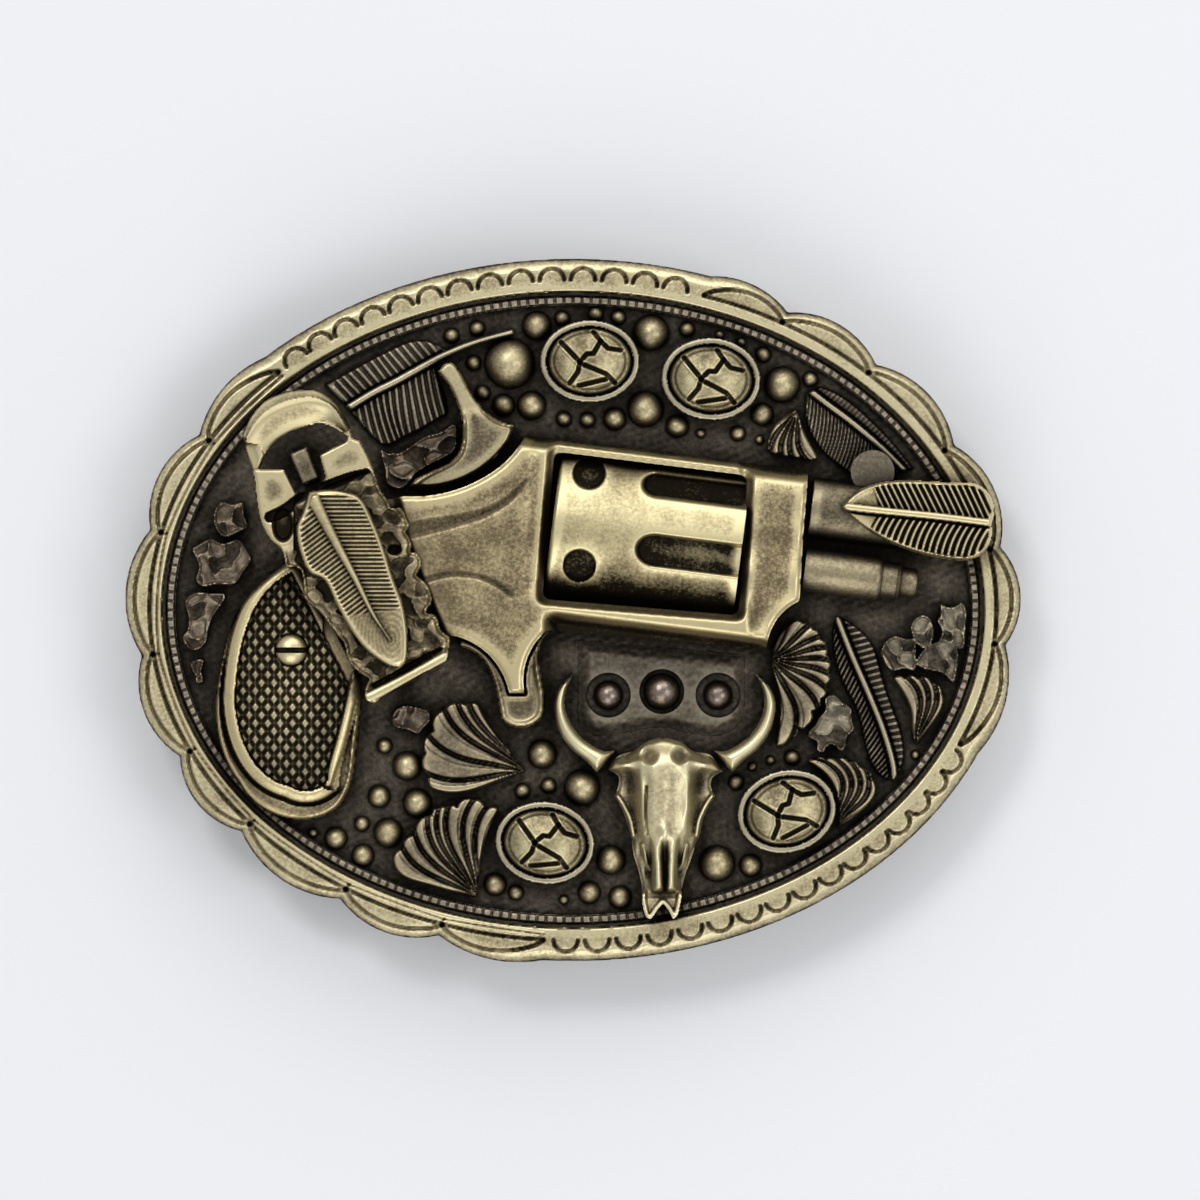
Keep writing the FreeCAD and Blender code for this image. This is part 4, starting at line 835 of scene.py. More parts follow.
def make_grip_panel():
    low, top = heights("grip_panel")

    def crown(grid):
        return np.exp(-(((grid.x + 31.5) / 5.0) ** 2) - ((grid.y + 10.0) / 8.5) ** 2)

    def shape(grid):
        long, short = grid.x / 1.37, grid.y / 1.78
        off = np.maximum(zigzag(long + short), zigzag(long - short))
        point = np.clip((1 - off) * 1.9, 0, 1)
        return top - 0.95 + 0.45 * point + 0.45 * crown(grid) + rounded(grid.depth, 0.3, 0.35)

    def tone(grid):
        """Brighter where the panel bulges: wear there, and a painted highlight."""
        return 0.75 * crown(grid) - 0.3

    relief("grip_checkering", ["grip_panel"], outlines_of("grip_panel"), shape, CHECKS,
           "antique_checkering", low - 2, step=0.11, around=top - 0.6, reach=0.7, strength=0.5, tone=tone)


def make_grip_screw():
    low, high = corners_of("grip_screw")
    cx, cy, radius = (low.x + high.x) / 2, (low.y + high.y) / 2, (high.x - low.x) / 2
    low, top = heights("grip_screw")

    def shape(grid):
        share = np.hypot(grid.x - cx, grid.y - cy) / radius
        return top - 1.0 + dome(share) - 0.75 * smooth(0.3, 0.2, np.abs(grid.y - cy))

    relief("grip_screw_head", ["grip_screw"], [oval(radius, radius, (cx, cy))], shape, HIGH,
           "antique_high_relief", low, step=0.08, around=top - 1.4)


# ---- feathers

def make_muzzle_feather():
    top = heights("muzzle_feather")[1]
    quill = curve((29.5, 11.4), (34.0, 10.9), (40.0, 10.3), (45.7, 9.6))

    def shape(grid):
        away, side, travelled = grid.along(quill, 30.0)
        above = side > 0
        sweep = np.where(above, 0.62 * away, 0.62 * away - 0.07 * away**2)
        barb = zigzag((travelled + sweep) / 0.74)
        z = top - 0.35 - 0.5 * smooth(0.3, 0.85, barb) - 0.035 * away**2
        plain = top - 0.55 - 0.07 * zigzag((travelled - 0.5 * away) / 0.3) - 0.035 * away**2
        fine = smooth(4.5, 4.2, travelled + 0.45 * away)
        z = z * (1 - fine) + plain * fine
        z -= 0.35 * smooth(0.75, 0.5, away) * (1 - above)
        z = np.where(away < 0.42, top - 0.35 + 0.35 * dome(away / 0.42), z)
        rimmed = smooth(0.36, 0.16, np.abs(grid.depth - 0.2))
        z = np.where(away > 0.6, z * (1 - rimmed) + np.maximum(z, top - 0.6) * rimmed, z)
        return z + rounded(grid.depth, 1.6, 0.4)

    def foot_shape(grid):
        return np.full(grid.x.shape, FIELD + 2.2)

    relief("muzzle_feather_vane", ["muzzle_feather"], outlines_of("muzzle_feather", top)[:1], shape, HIGH,
           "antique_high_relief", FIELD + 2.0, step=0.11, around=RIM_TOP, reach=0.6, strength=0.35)
    relief("muzzle_feather_foot", ["muzzle_feather"], outlines_of("muzzle_feather"), foot_shape, LOW,
           step=0.3)


def flat_feather(name, node, quill, left, right, quill_width=0.4):
    """left and right give each vane its barb pitch, slant, bow, how far it lies below the top, and cut."""
    top = heights(node)[1]

    def shape(grid):
        away, side, travelled = grid.along(quill, 30.0)

        def vane(pitch, slant, bow, below, cut):
            barb = zigzag((travelled + slant * away + bow * away**2) / pitch)
            return top - 0.35 - below - cut * smooth(0.3, 0.85, barb) - 0.008 * away**2

        z = np.where(side > 0, vane(*left), vane(*right))
        z -= 0.25 * smooth(quill_width + 0.35, quill_width + 0.1, away)
        z = np.where(away < quill_width, top - 0.35 + 0.35 * dome(away / quill_width), z)
        return z + rounded(grid.depth, 0.8, 0.3)

    relief(name, [node], outlines_of(node), shape, LOW, step=0.105, around=FIELD + 0.8, reach=0.6,
           strength=0.42)


def make_feathers():
    flat_feather("feather_top_left", "feather_upper_left",
                 curve((-24.8, 22.3), (-22, 24.0), (-19.6, 25.2), (-17.6, 26.3), (-15.0, 27.7),
                       (-13.0, 28.6), (-10.6, 29.6), (-6.5, 30.7)),
                 (0.8, 0.2, 0.0, 0.15, 0.3), (0.8, 0.43, -0.02, 0.15, 0.34))
    flat_feather("feather_top_right", "feather_upper_right",
                 curve((26.1, 24.2), (28.2, 22.6), (31.0, 20.5), (34.0, 17.9), (36.5, 15.4)),
                 (0.5, -0.1, 0.0, 0.65, 0.14), (0.48, -0.75, 0.05, 0.05, 0.2), quill_width=0.34)
    flat_feather("leaf_lower_right", "feather_lower_right",
                 curve((29, -0.5), (30.6, -4.6), (32.6, -9.2), (34.2, -13.2), (35.2, -16.6), (35.5, -18.9)),
                 (0.72, -0.15, 0.0, 0.35, 0.3), (0.62, -0.8, 0.0, 0.35, 0.3), quill_width=0.34)


# ---- latch

LATCH_EDGE = outline(
    (-31.4, 4.7),
    [(-32.0, 6.6), (-33.2, 7.7), (-34.2, 9.6), (-34.7, 12.0), (-35.0, 14.6), (-35.9, 17.4), (-36.3, 19.2)],
    [(-35.5, 21.0), (-34.0, 22.8), (-32.0, 23.8), (-30.0, 24.2), (-28.0, 24.1), (-26.0, 22.8),
     (-24.6, 20.3), (-24.1, 18.9)],
    [(-23.3, 18.6)],
    [(-22.2, 16.4), (-21.3, 13.6), (-20.9, 12.9)],
    [(-20.2, 11.8), (-20.0, 11.3), (-18.9, 11.2), (-18.2, 10.0), (-17.9, 9.2), (-18.3, 8.6), (-17.7, 7.4),
     (-17.8, 6.4), (-17.0, 6.2), (-16.6, 5.0), (-17.1, 3.8), (-16.2, 3.1), (-15.5, 1.6), (-15.6, 0.6),
     (-16.1, -0.2), (-15.0, -0.7), (-14.5, -2.2), (-13.5, -3.1), (-13.6, -4.4), (-13.9, -5.6)],
    [(-17.0, -7.2), (-20.4, -9.2), (-21.6, -10.2), (-22.6, -9.9)],
    [(-22.9, -8.8), (-22.4, -7.6), (-23.4, -6.9), (-24.6, -5.6), (-25.1, -3.6), (-26.0, -2.6), (-27.6, -0.4),
     (-29.4, 1.3), (-29.6, 3.4), (-30.0, 4.5), (-31.4, 4.7)],
)
LATCH_GAP = outline(
    (-34.6, 15.4),
    [(-33.6, 17.3), (-32.2, 18.8), (-29.5, 20.1), (-27.0, 20.3), (-24.7, 19.0)],
    [(-24.9, 18.5)],
    [(-27.8, 17.0)],
    [(-27.1, 14.5)],
    [(-28.3, 13.2)],
    [(-30.4, 12.8)],
    [(-31.7, 15.4)],
)
LATCH_QUILL = curve((-28.8, 13.0), (-26.6, 8.6), (-23.9, 3.6), (-21.9, -0.4), (-20.0, -3.3))


def rocky_share(grid):
    """1 on the rough lower part of the latch, 0 on its bars and hood."""
    v = (grid.y - 14.5) * 0.923 - (grid.x + 28.0) * 0.385
    return smooth(-1.0, -2.0, v) * np.where(grid.x > -30.6, 1.0, smooth(-5.2, -7.2, v))


def make_latch():
    top = heights("latch_plate")[1]
    face = heights("latch_feather")[0]

    def shape(grid):
        x, y = grid.x, grid.y
        hole = grid.distance(LATCH_GAP)
        outside = grid.distance(LATCH_EDGE)
        crest = grid.to_path((-36.0, 18.2), (-34.4, 20.4), (-33.0, 21.5), (-31.2, 22.3), (-29.0, 22.8),
                             (-26.9, 22.4), (-25.6, 21.2), (-24.6, 19.4))
        lip = grid.to_path((-35.2, 15.6), (-33.6, 17.6), (-32.0, 19.0), (-29.5, 20.3), (-27.0, 20.7),
                           (-24.4, 19.3))
        share = np.clip(lip / np.maximum(crest + lip, 0.1), 0, 1)
        hood = top - 0.15 - 0.9 * (1 - share) ** 1.5
        band = (outside < crest + 0.25) & (outside < 1.75)
        hood = np.where(band, top - 0.75 - 0.9 * smooth(1.3, 0.0, outside), hood)
        hood -= 0.3 * smooth(0.32, 0.05, np.abs(crest - 0.12)) * band
        hood += rounded(outside, 1.2, 0.4) + rounded(hole, 0.5, 0.25)
        bars = face + 0.05 + rounded(hole, 0.4, 0.25) + rounded(outside, 0.9, 0.4)
        slit = grid.to_path((-33.2, 10.2), (-31.4, 11.1), (-29.8, 12.3), (-28.4, 13.0), (-26.6, 13.7),
                            (-24.4, 14.5), (-22.7, 14.9))
        bars -= 1.5 * smooth(0.65, 0.4, slit)
        bars -= 1.5 * smooth(1.25, 0.8, np.hypot(x + 31.8, (y - 9.3) * 0.62))
        bars -= 1.5 * smooth(0.95, 0.6, np.hypot((x + 22.9) * 0.8, y - 13.9))
        rock = rough(grid, 52, face + 0.35, 0.85)
        rock -= 0.9 * smooth(0.9, 0.4, np.hypot(x + 19.6, (y - 6.6) * 1.4))
        rock -= 0.8 * smooth(0.9, 0.4, np.hypot(x + 18.6, (y + 3.0) * 1.4))
        rocky = rocky_share(grid)
        z = bars * (1 - rocky) + rock * rocky
        edge = grid.to_path((-22.4, -9.6), (-20.0, -8.4), (-17.0, -6.8), (-14.1, -5.2))
        z = np.where(edge < 0.6, face - 0.35 + 0.35 * dome(edge / 0.6), z)
        z += grid.cut([(-21.8, -8.3), (-19.6, -7.1), (-17, -5.6), (-14.6, -4.3)], 0.6, 0.3)
        over = (y > 15.3 + 0.43 * (x + 35.0)) & (x < -23.9)
        return np.where(over, hood, z)

    def tone(grid):
        return -0.4 * rocky_share(grid)

    relief("latch_plate_face", ["latch_plate"], [LATCH_EDGE, LATCH_GAP], shape, CAST,
           "antique_high_relief", face - 2.2, step=0.12, body="latch", around=face - 1.6, strength=0.26,
           tone=tone)


def make_latch_feather():
    low, top = heights("latch_feather")
    edge = outline(
        (-28.9, 13.0),
        [(-27.0, 13.2), (-25.0, 13.0), (-23.2, 12.2), (-21.8, 9.6), (-20.7, 6.8), (-19.7, 3.6), (-18.6, 0.6),
         (-18.1, -2.6), (-18.2, -5.4), (-18.9, -6.4)],
        [(-20.4, -6.0), (-22.6, -4.4), (-24.2, -2.4), (-25.8, 0.4), (-27.2, 3.2), (-28.9, 4.2), (-29.9, 6.4),
         (-30.3, 9.0), (-29.6, 10.8), (-28.9, 13.0)],
    )

    def shape(grid):
        away, side, travelled = grid.along(LATCH_QUILL, 30.0)
        x, y = grid.x, grid.y
        phase = np.where(side > 0, y / 0.46, (y - 0.75 * x) / 0.62)
        z = top - 0.42 - 0.22 * smooth(0.25, 0.9, zigzag(phase)) - 0.012 * away**2
        tip = np.hypot(x + 19.9, (y + 3.2) * 0.62)
        smooth_tip = smooth(0.3, -0.4, y - 0.15 * (x + 20))
        z = z * (1 - smooth_tip) + (top - 0.55 - 0.07 * zigzag(tip / 0.42)) * smooth_tip
        wide = 0.75 - 0.035 * travelled
        shaft = np.clip(1 - (away / np.maximum(wide, 0.15)) ** 2, 0, 1)
        z = np.where(shaft > 0, np.maximum(z, top - 0.5 + 0.5 * np.sqrt(shaft)), z)
        rimmed = smooth(0.42, 0.12, np.abs(grid.depth - 0.2))
        z = z * (1 - rimmed) + (top - 0.5) * rimmed
        return z + rounded(grid.depth, 1.0, 0.35)

    relief("latch_feather_vane", ["latch_feather"], [edge], shape, HIGH, "antique_high_relief", low - 0.8,
           step=0.1, body="latch", around=low - 0.3, reach=0.5, strength=0.32)


def make_catch():
    top = heights("latch_catch")[1]

    def shape(grid):
        return top + rounded(grid.depth, 0.5, 0.35) + 0.03 * grid.waves(0.8, 55)

    relief("latch_tongue", ["latch_catch"], outlines_of("latch_catch"), shape, DARK, "dark_hardware",
           around=top - 0.6)


# ---- stones, beads and studs

# lines of the cracks in a stone that lies along the x axis, from its middle
CRACKS = [
    [(-3.2, 2.1), (-1.1, -0.1)],
    [(-1.1, -0.1), (-0.3, 0.8), (0.4, 0.8), (1.2, 2.2), (0.4, 3.2)],
    [(1.2, 2.2), (2.0, 1.4), (3.4, 1.2)],
    [(-1.1, -0.1), (-1.3, -1.2), (-2.2, -2.4)],
    [(-0.9, -0.3), (1.8, -1.4), (2.8, -2.4)],
    [(-1.2, -2.7), (1.8, -2.0)],
]
BEZEL_LONG, BEZEL_WIDE, BEZEL_WALL = 5.45, 4.5, 0.65
STONE_GAP = 0.15


def make_cabochon(name, degrees):
    bezel, stone = f"bezel_{name}", f"stone_{name}"
    low, top = heights(bezel)
    first, last = corners_of(bezel)
    place = ((first.x + last.x) / 2, (first.y + last.y) / 2, degrees)
    hole_long, hole_wide = BEZEL_LONG - BEZEL_WALL, BEZEL_WIDE - BEZEL_WALL
    long, wide = hole_long - STONE_GAP, hole_wide - STONE_GAP
    stone_top = heights(stone)[1]

    def ring_shape(grid):
        return top + rounded(grid.depth, 0.3, 0.2) + 0.04 * grid.waves(1.2, 61)

    def stone_shape(grid):
        r = np.hypot(grid.x / long, grid.y / wide)
        z = stone_top - 1.9 + 1.9 * np.sqrt(np.clip(1 - r**2.4, 0, 1))
        for crack in CRACKS:
            away = grid.along(np.array(crack), 1.0)[0]
            z += groove(away, 0.42, 0.25)
            z -= groove(away - 0.4, 0.08, 0.15)
        z += groove(r - 0.86, 0.16, 0.04)
        return z + 0.15 * grid.waves(1.6, 62)

    def tone(grid):
        """A painted reflection to the left and right of the cracks, and painted shade towards the setting."""
        r = np.hypot(grid.x / long, grid.y / wide)
        painted_reflection = np.exp(-(((np.abs(grid.x) - 1.9) / 1.0) ** 2) - ((grid.y + 0.4) / 1.4) ** 2)
        return -0.25 - 0.8 * np.clip(r, 0, 1) ** 3 + 0.75 * painted_reflection

    relief(f"setting_{name}", [bezel], [oval(BEZEL_LONG, BEZEL_WIDE), oval(hole_long, hole_wide)],
           ring_shape, LOW, base=low - 0.1, step=0.11, place=place, around=low + 0.8)
    relief(f"cracked_stone_{name}", [stone], [oval(long, wide)], stone_shape, BRASS,
           "antique_high_relief", low - 0.1, step=0.09, place=place, around=low + 1.5, strength=0.32,
           tone=tone)


def balls_of(node):
    """Centre and radius of each separate half ball in a CAD node, in mm."""
    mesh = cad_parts[node].data
    points = np.round(np.array([v.co for v in mesh.vertices]) / MM, 3)
    unique, number = np.unique(points, axis=0, return_inverse=True)
    number = number.ravel()
    parent = list(range(len(unique)))

    def root(i):
        while parent[i] != i:
            parent[i] = parent[parent[i]]
            i = parent[i]
        return i

    for edge in mesh.edges:
        a, b = (root(number[v]) for v in edge.vertices)
        parent[a] = b
    groups = {}
    for i in range(len(unique)):
        groups.setdefault(root(i), []).append(i)
    balls = []
    for members in groups.values():
        cluster = unique[members]
        low, high = cluster.min(0), cluster.max(0)
        balls.append(((low[0] + high[0]) / 2, (low[1] + high[1]) / 2, high[2] - low[2]))
    return sorted(balls)


def make_beads(name, node, material):
    """Cast half balls: a little uneven, with a painted highlight on top and painted shade where they meet the
    field.
    """
    vertices, faces, wear_and_painted_light = [], [], []
    rings, count = 16, 40
    for number, (cx, cy, radius) in enumerate(balls_of(node)):
        start = len(vertices)
        for ring in range(rings):
            tilt = math.pi / 2 * ring / rings
            for k in range(count):
                turn = 2 * math.pi * k / count
                dent = 1 + 0.012 * math.sin(3 * turn + number) * math.cos(tilt) ** 2
                dent += 0.008 * math.sin(5 * tilt + 2 * turn + 1.7 * number)
                across = radius * math.cos(tilt) * min(dent, 1.0)
                vertices.append((cx + across * math.cos(turn), cy + across * math.sin(turn),
                                 FIELD + radius * math.sin(tilt)))
                # bright towards the top and dark at the foot: a painted highlight and painted shade
                wear_and_painted_light.append(-1 + 1.55 * math.sin(tilt) ** 1.3 if ring else -1)
        vertices.append((cx, cy, FIELD + radius))
        wear_and_painted_light.append(0.55)
        faces += tube_faces(rings, count, start)
        top = start + (rings - 1) * count
        faces += [[top + k, top + (k + 1) % count, len(vertices) - 1] for k in range(count)]
        faces.append([start + k for k in range(count)][::-1])
    new_piece(name, vertices, faces, wear_and_painted_light, [node], material, "antique_relief")


def make_stud_panel():
    top = heights("stud_panel")[1]
    loops = outlines_of("stud_panel")

    def shape(grid):
        grains = grid.waves(0.4, 71, 14) * 0.09
        level = FIELD + 0.02 + (top - FIELD - 0.3) * smooth(0.0, 1.6, grid.distance(loops[0]))
        return level + grains * smooth(0.0, 0.4, grid.depth)

    relief("stud_ground", ["stud_panel"], loops, shape, GROUND, base=FIELD - 0.2, around=FIELD)


# ---- skull and horns

SKULL_AXIS = 10.1
HORN_AXIS = (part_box("horn_left")[0].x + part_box("horn_right")[1].x) / 2 / MM
SKULL_EDGE = outline(
    (7.4, -15.0),
    [(8.4, -14.4), (9.6, -14.1), (10.8, -14.2), (12.0, -14.6), (12.8, -15.3)],
    [(13.8, -15.7), (15.0, -15.9), (15.9, -16.9), (16.5, -17.8)],
    [(15.4, -18.4), (15.2, -19.5), (15.7, -20.5)],
    [(15.0, -21.6), (14.3, -23.2), (14.0, -24.7), (13.5, -25.8)],
    [(13.1, -27.2), (12.5, -28.8), (12.1, -30.2), (11.9, -31.9), (11.5, -33.6), (11.0, -34.0)],
    [(10.5, -33.0), (9.9, -32.3)],
    [(9.3, -33.0), (8.6, -34.0)],
    [(8.0, -33.7), (7.6, -32.0), (7.6, -30.4), (7.2, -28.6), (6.7, -27.0), (6.5, -25.4)],
    [(6.0, -23.6), (5.4, -22.0), (4.6, -20.5)],
    [(5.0, -19.4), (5.0, -18.3), (3.9, -17.6)],
    [(4.4, -16.6), (5.4, -15.9), (6.5, -15.6), (7.4, -15.0)],
)
# bumps and hollows on each side of the skull: height, distance from the middle, y, half width,
# half height and turn in degrees
SKULL_HUMPS = [
    (1.0, 4.2, -17.0, 1.7, 0.6, -16),
    (-0.55, 4.5, -15.9, 0.35, 0.8, -30),
    (0.5, 2.5, -20.6, 0.4, 3.0, -2),
    (-0.55, 3.9, -19.4, 0.9, 1.6, -12),
    (-0.6, 1.75, -28.6, 0.4, 1.6, 3),
    (-0.35, 2.7, -26.6, 0.4, 1.1, 10),
]


def hump(grid, x, y, half_wide, half_tall, turn=0.0):
    """A soft bump from 0 to 1, turned by some degrees."""
    c, s = math.cos(math.radians(turn)), math.sin(math.radians(turn))
    dx, dy = grid.x - x, grid.y - y
    u, v = c * dx + s * dy, c * dy - s * dx
    return np.exp(-((u / half_wide) ** 2) - (v / half_tall) ** 2)


def make_skull():
    low, top = heights("skull")
    middle = SKULL_AXIS

    def shape(grid):
        x, y = grid.x, grid.y
        off = x - middle
        z = low + 2.6 + 0.9 * smooth(0.0, 2.2, grid.depth)
        face = smooth(4.2, 1.0, np.abs(off)) * smooth(-27.6, -23.6, y)
        z += 1.9 * face * smooth(-14.0, -17.5, y) + 1.1 * face * smooth(-17.5, -14.0, y)
        z -= 0.22 * smooth(1.2, 0.2, np.abs(off - 1.0)) * smooth(-17.0, -18.5, y) * smooth(-25, -24, y)

        def ridge(side, points, high, half):
            """A low ridge along points given by their distance from the middle and their y."""
            return -grid.cut([(middle + out * side, up) for out, up in points], high, half)

        for side in (-1, 1):
            pit = np.hypot((off - 1.7 * side) / 0.95, (y + 16.0) / 0.95)
            z -= 0.75 * smooth(1.3, 0.35, pit)
            for lift, out, up, half_wide, half_tall, turn in SKULL_HUMPS:
                z += lift * hump(grid, middle + out * side, up, half_wide, half_tall, turn * side)
            z += ridge(side, [(5.5, -20.4), (4.7, -21.5), (4.0, -23.0), (3.7, -24.8)], 1.0, 0.55)
            nose_bone = ridge(side, [(1.0, -24.4), (0.8, -27.6), (0.75, -31.0)], 1.2, 0.72)
            z += nose_bone * smooth(-24.2, -26.4, y)
            z += ridge(side, [(2.5, -25.9), (2.1, -27.2), (1.7, -28.6)], 0.4, 0.3)
        z += 0.7 * hump(grid, middle, -25.0, 0.7, 1.5)
        z += grid.cut([(middle - 2.0, -19.4), (middle - 2.1, -22.0), (middle - 1.95, -24.6)], 0.25, 0.2)
        z -= 0.5 * hump(grid, middle + 0.1, -29.4, 0.22, 1.8)
        nose = smooth(-30.5, -31.4, y)
        prong = low + 3.3 + 0.7 * smooth(0.45, 0.1, np.abs(grid.depth - 0.2))
        z = z * (1 - nose) + (prong - 0.3 * smooth(-31.9, -31.4, y)) * nose
        z += 0.05 * waves(x, y, 1.0, 91)
        z += rounded(grid.depth, 1.2, 0.6) * (1 - nose)
        return np.clip(z, low + 2.1, top)

    relief("bull_skull", ["skull"], [SKULL_EDGE], shape, BONE, "antique_high_relief",
           step=0.1, around=FIELD + 1.2, reach=1.0, strength=0.5)


def make_horn(side):
    node = "horn_right" if side > 0 else "horn_left"
    outer = [(10.0, -7.0), (11.5, -8.4), (12.2, -10.2), (12.0, -12.2), (11.35, -13.9),
             (10.1, -15.5), (8.6, -16.7), (7.45, -17.9)]
    base = [(6.9, -17.3), (6.2, -16.4), (5.3, -15.4)]
    inner = [(6.4, -15.6), (7.7, -15.1), (9.2, -14.0), (10.4, -12.4), (11.0, -10.6), (10.8, -8.7),
             (10.0, -7.0)]
    outer, base, inner = [[(HORN_AXIS + side * x, y) for x, y in run] for run in (outer, base, inner)]
    edge = outline(outer[0], outer[1:], base, inner)

    def shape(grid):
        width = 0.3 + 0.75 * smooth(-7.0, -15.0, grid.y)
        z = FIELD + 2.3 + 1.2 * dome(1 - np.clip(grid.depth / width, 0, 1))
        return z - 0.4 * smooth(7.4, 5.4, side * (grid.x - HORN_AXIS))

    relief(f"bull_{node}", [node], [edge], shape, BONE, "antique_high_relief",
           step=0.09, around=FIELD + 1.4, reach=1.0, strength=0.75)


# ---- fans, rock and nuggets

def make_fan(node, apex, ribs, bow):
    """A shell fan: blades between pairs of fine grooves, which bow by that many radians halfway out.

    ribs are the places of the groove pairs across the fan, as shares of its spread."""
    low, top = heights(node)
    loops = outlines_of(node)
    reach = np.hypot(*(loops[0] - apex).T).max()

    def polar(x, y):
        """Distance from the apex in mm, and the direction there with the bow taken out."""
        dx, dy = x - apex[0], y - apex[1]
        away = np.hypot(dx, dy)
        share = np.clip(away / reach, 0, 1)
        return away, np.arctan2(dy, dx) - bow * 4 * share * (1 - share)

    away, turns = polar(*loops[0].T)
    turns = np.sort(turns[away > 0.45 * reach] % (2 * math.pi))
    gaps = np.diff(np.append(turns, turns[0] + 2 * math.pi))
    gap = int(np.argmax(gaps))
    first = turns[(gap + 1) % len(turns)]
    spread = (turns[gap] - first) % (2 * math.pi)

    def shape(grid):
        away, turn = polar(grid.x, grid.y)
        share = ((turn - first + math.pi) % (2 * math.pi) - math.pi) / spread
        edges = np.array([-0.02, *ribs, 1.02])
        blade = np.clip(np.searchsorted(edges, share.ravel()) - 1, 0, len(ribs)).reshape(share.shape)
        across = np.clip((share - edges[blade]) / (edges[blade + 1] - edges[blade]), 0, 1)
        z = top - 0.5 + 0.42 * np.sin(math.pi * across) ** 0.6 - 0.012 * (reach - away)
        width = (edges[blade + 1] - edges[blade]) * spread * away
        fine = np.clip(width / 1.1, 0.0, 1.0)
        for rib in ribs:
            off = np.abs(share - rib) * spread * away
            z += groove(off - 0.16 * fine, 0.32 * fine, 0.05 + 0.08 * fine)
        z += groove((across - 0.3) * width, 0.12, 0.13)
        z -= 0.4 * smooth(0.3, 0.0, away / reach)
        return np.clip(z + rounded(grid.depth, 0.7, 0.3), low + 0.6, top)

    relief(node.replace("fan", "shell_fan"), [node], loops, shape, FAN, step=0.11, around=FIELD + 1.0,
           reach=0.7, strength=0.45)


def rough(grid, seed, top, size=1.0):
    """Melted-looking lumps: flat hollows between thin wandering ridges, with a raised uneven edge."""
    x, y = grid.x, grid.y
    bend = 0.35 * size * waves(x, y, 1.1 * size, seed + 40)
    lumps = waves(x + bend, y - bend, 1.25 * size, seed, 9)
    ridges = np.clip(1 - np.abs(lumps) / 0.22, 0, 1) ** 1.3
    z = top - 0.95 + 0.42 * ridges * (0.55 + 0.45 * waves(x, y, 2.2, seed + 7))
    z += 0.3 * np.clip(lumps, -0.6, 0.6) + 0.52 * smooth(0.5, 0.1, grid.depth) * (0.7 + 0.5 * lumps)
    return z + rounded(grid.depth, 0.9, 0.22)


def make_nuggets(node, seed, material):
    low, top = heights(node)

    def shape(grid):
        return np.clip(rough(grid, seed, top), low + 0.5, top)

    relief(f"{node}_rough", [node], outlines_of(node), shape, material, step=0.11, around=FIELD + 1.2,
           strength=0.24)


# ---- everything

def finish_cad_node(node, material):
    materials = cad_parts[node].data.materials
    materials.clear()
    materials.append(material)


def make_studio():
    bpy.ops.mesh.primitive_plane_add(size=3.0, location=(0, 0, 0))
    floor = bpy.context.object
    floor.name = "studio_floor"
    paper = bpy.data.materials.new("white_paper")
    paper.use_nodes = True
    shader = paper.node_tree.nodes["Principled BSDF"]
    shader.inputs["Base Color"].default_value = (0.86, 0.865, 0.885, 1)
    shader.inputs["Roughness"].default_value = 0.9
    floor.data.materials.append(paper)
    world = bpy.data.worlds.new("studio")
    world.use_nodes = True
    sky = world.node_tree.nodes["Background"]
    sky.inputs["Color"].default_value = (0.95, 0.97, 1.0, 1)
    sky.inputs["Strength"].default_value = 0.47
    bpy.context.scene.world = world
    for name, place, size, power in (
        ("window", (0.20, 0.75, 0.60), 0.7, 2.6),
        ("upper_left", (-0.30, 0.50, 0.90), 0.25, 2.2),
        ("right", (0.50, -0.10, 0.70), 0.4, 1.2),
        ("below", (-0.05, -0.65, 0.60), 0.6, 1.8),
    ):
        lamp = bpy.data.lights.new(name, "AREA")
        lamp.size = size
        lamp.energy = power
        holder = bpy.data.objects.new(name, lamp)
        holder.location = place
        holder.rotation_euler = (-Vector(place)).to_track_quat("-Z", "Y").to_euler()
        bpy.context.scene.collection.objects.link(holder)
    bpy.context.scene.view_settings.view_transform = "Standard"


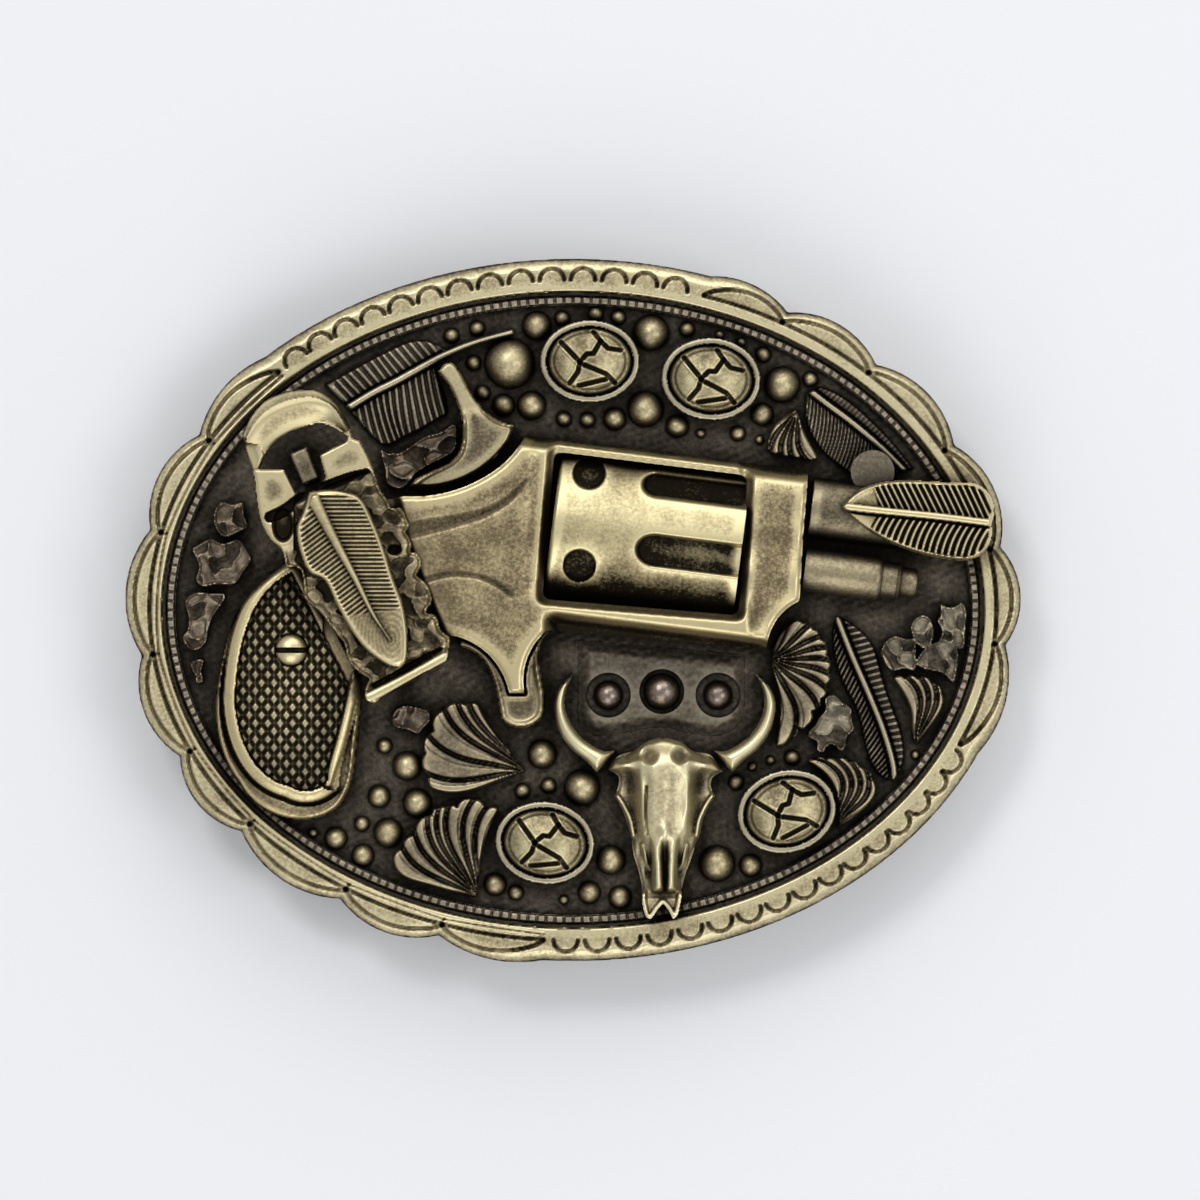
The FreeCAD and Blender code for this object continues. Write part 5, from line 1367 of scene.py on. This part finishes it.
def make_camera():
    """Straight above the buckle, which lies a little left of and below the middle of the view."""
    view_width = 0.1324
    height = 1.0
    sharp_level = 0.010
    camera = bpy.data.cameras.new("camera")
    camera.sensor_width = 36.0
    camera.lens = camera.sensor_width * (height - sharp_level) / view_width
    camera.clip_end = 10.0
    holder = bpy.data.objects.new("camera", camera)
    holder.location = (0.00298, 0.00110, height)
    bpy.context.scene.collection.objects.link(holder)
    bpy.context.scene.camera = holder


make_plate()
make_beaded_border()
make_gun_frame()
make_gun_drum()
make_gun_barrel()
make_gun_drum_pin()
make_hammer()
make_trigger()
make_grip_frame()
make_grip_panel()
make_grip_screw()
make_muzzle_feather()
make_feathers()
make_latch()
make_latch_feather()
for name, degrees in (("top_left", 0), ("top_right", -5), ("bottom_left", -8), ("bottom_right", 15)):
    make_cabochon(name, degrees)
for name, node, material in (("beads_over_gun", "beads_top", BEAD), ("beads_by_grip", "beads_left", BEAD),
                             ("beads_by_skull", "beads_bottom", BEAD), ("panel_studs", "studs", STUD)):
    make_beads(name, node, material)
make_stud_panel()
make_skull()
make_horn(-1)
make_horn(1)
make_fan("fan_top_right", (24.6, 22.2), [0.2, 0.38, 0.55, 0.74], -0.2)
make_fan("fan_left", (-5.2, -17.9), [0.1, 0.2, 0.33, 0.57, 0.84], 0.17)
make_fan("fan_bottom", (-10.6, -31.7), [0.13, 0.26, 0.42, 0.5, 0.58, 0.7, 0.84], 0.22)
make_fan("fan_trigger_side", (21.9, -5.2), [0.12, 0.27, 0.38, 0.47, 0.56, 0.65, 0.74, 0.86], 0.3)
make_fan("fan_right", (37.9, -15.0), [0.22, 0.42, 0.64], -0.3)
make_fan("fan_bottom_right", (29.1, -24.2), [0.2, 0.38, 0.56, 0.75], -0.5)
for node, seed, material in (("rock_upper_left", 80, ROCK), ("nuggets_left", 81, ROCK),
                             ("nuggets_right", 82, LOW), ("nugget_rosette", 83, LOW),
                             ("nugget_below_latch", 84, ROCK)):
    make_nuggets(node, seed, material)
for node in ("latch_pin", "latch_lug"):
    finish_cad_node(node, DARK)
for node in ("belt_loop", "loop_lug_upper", "loop_lug_lower", "hook"):
    finish_cad_node(node, REAR)
finish_cad_node("feather_disc", LOW)
make_catch()
make_studio()
make_camera()
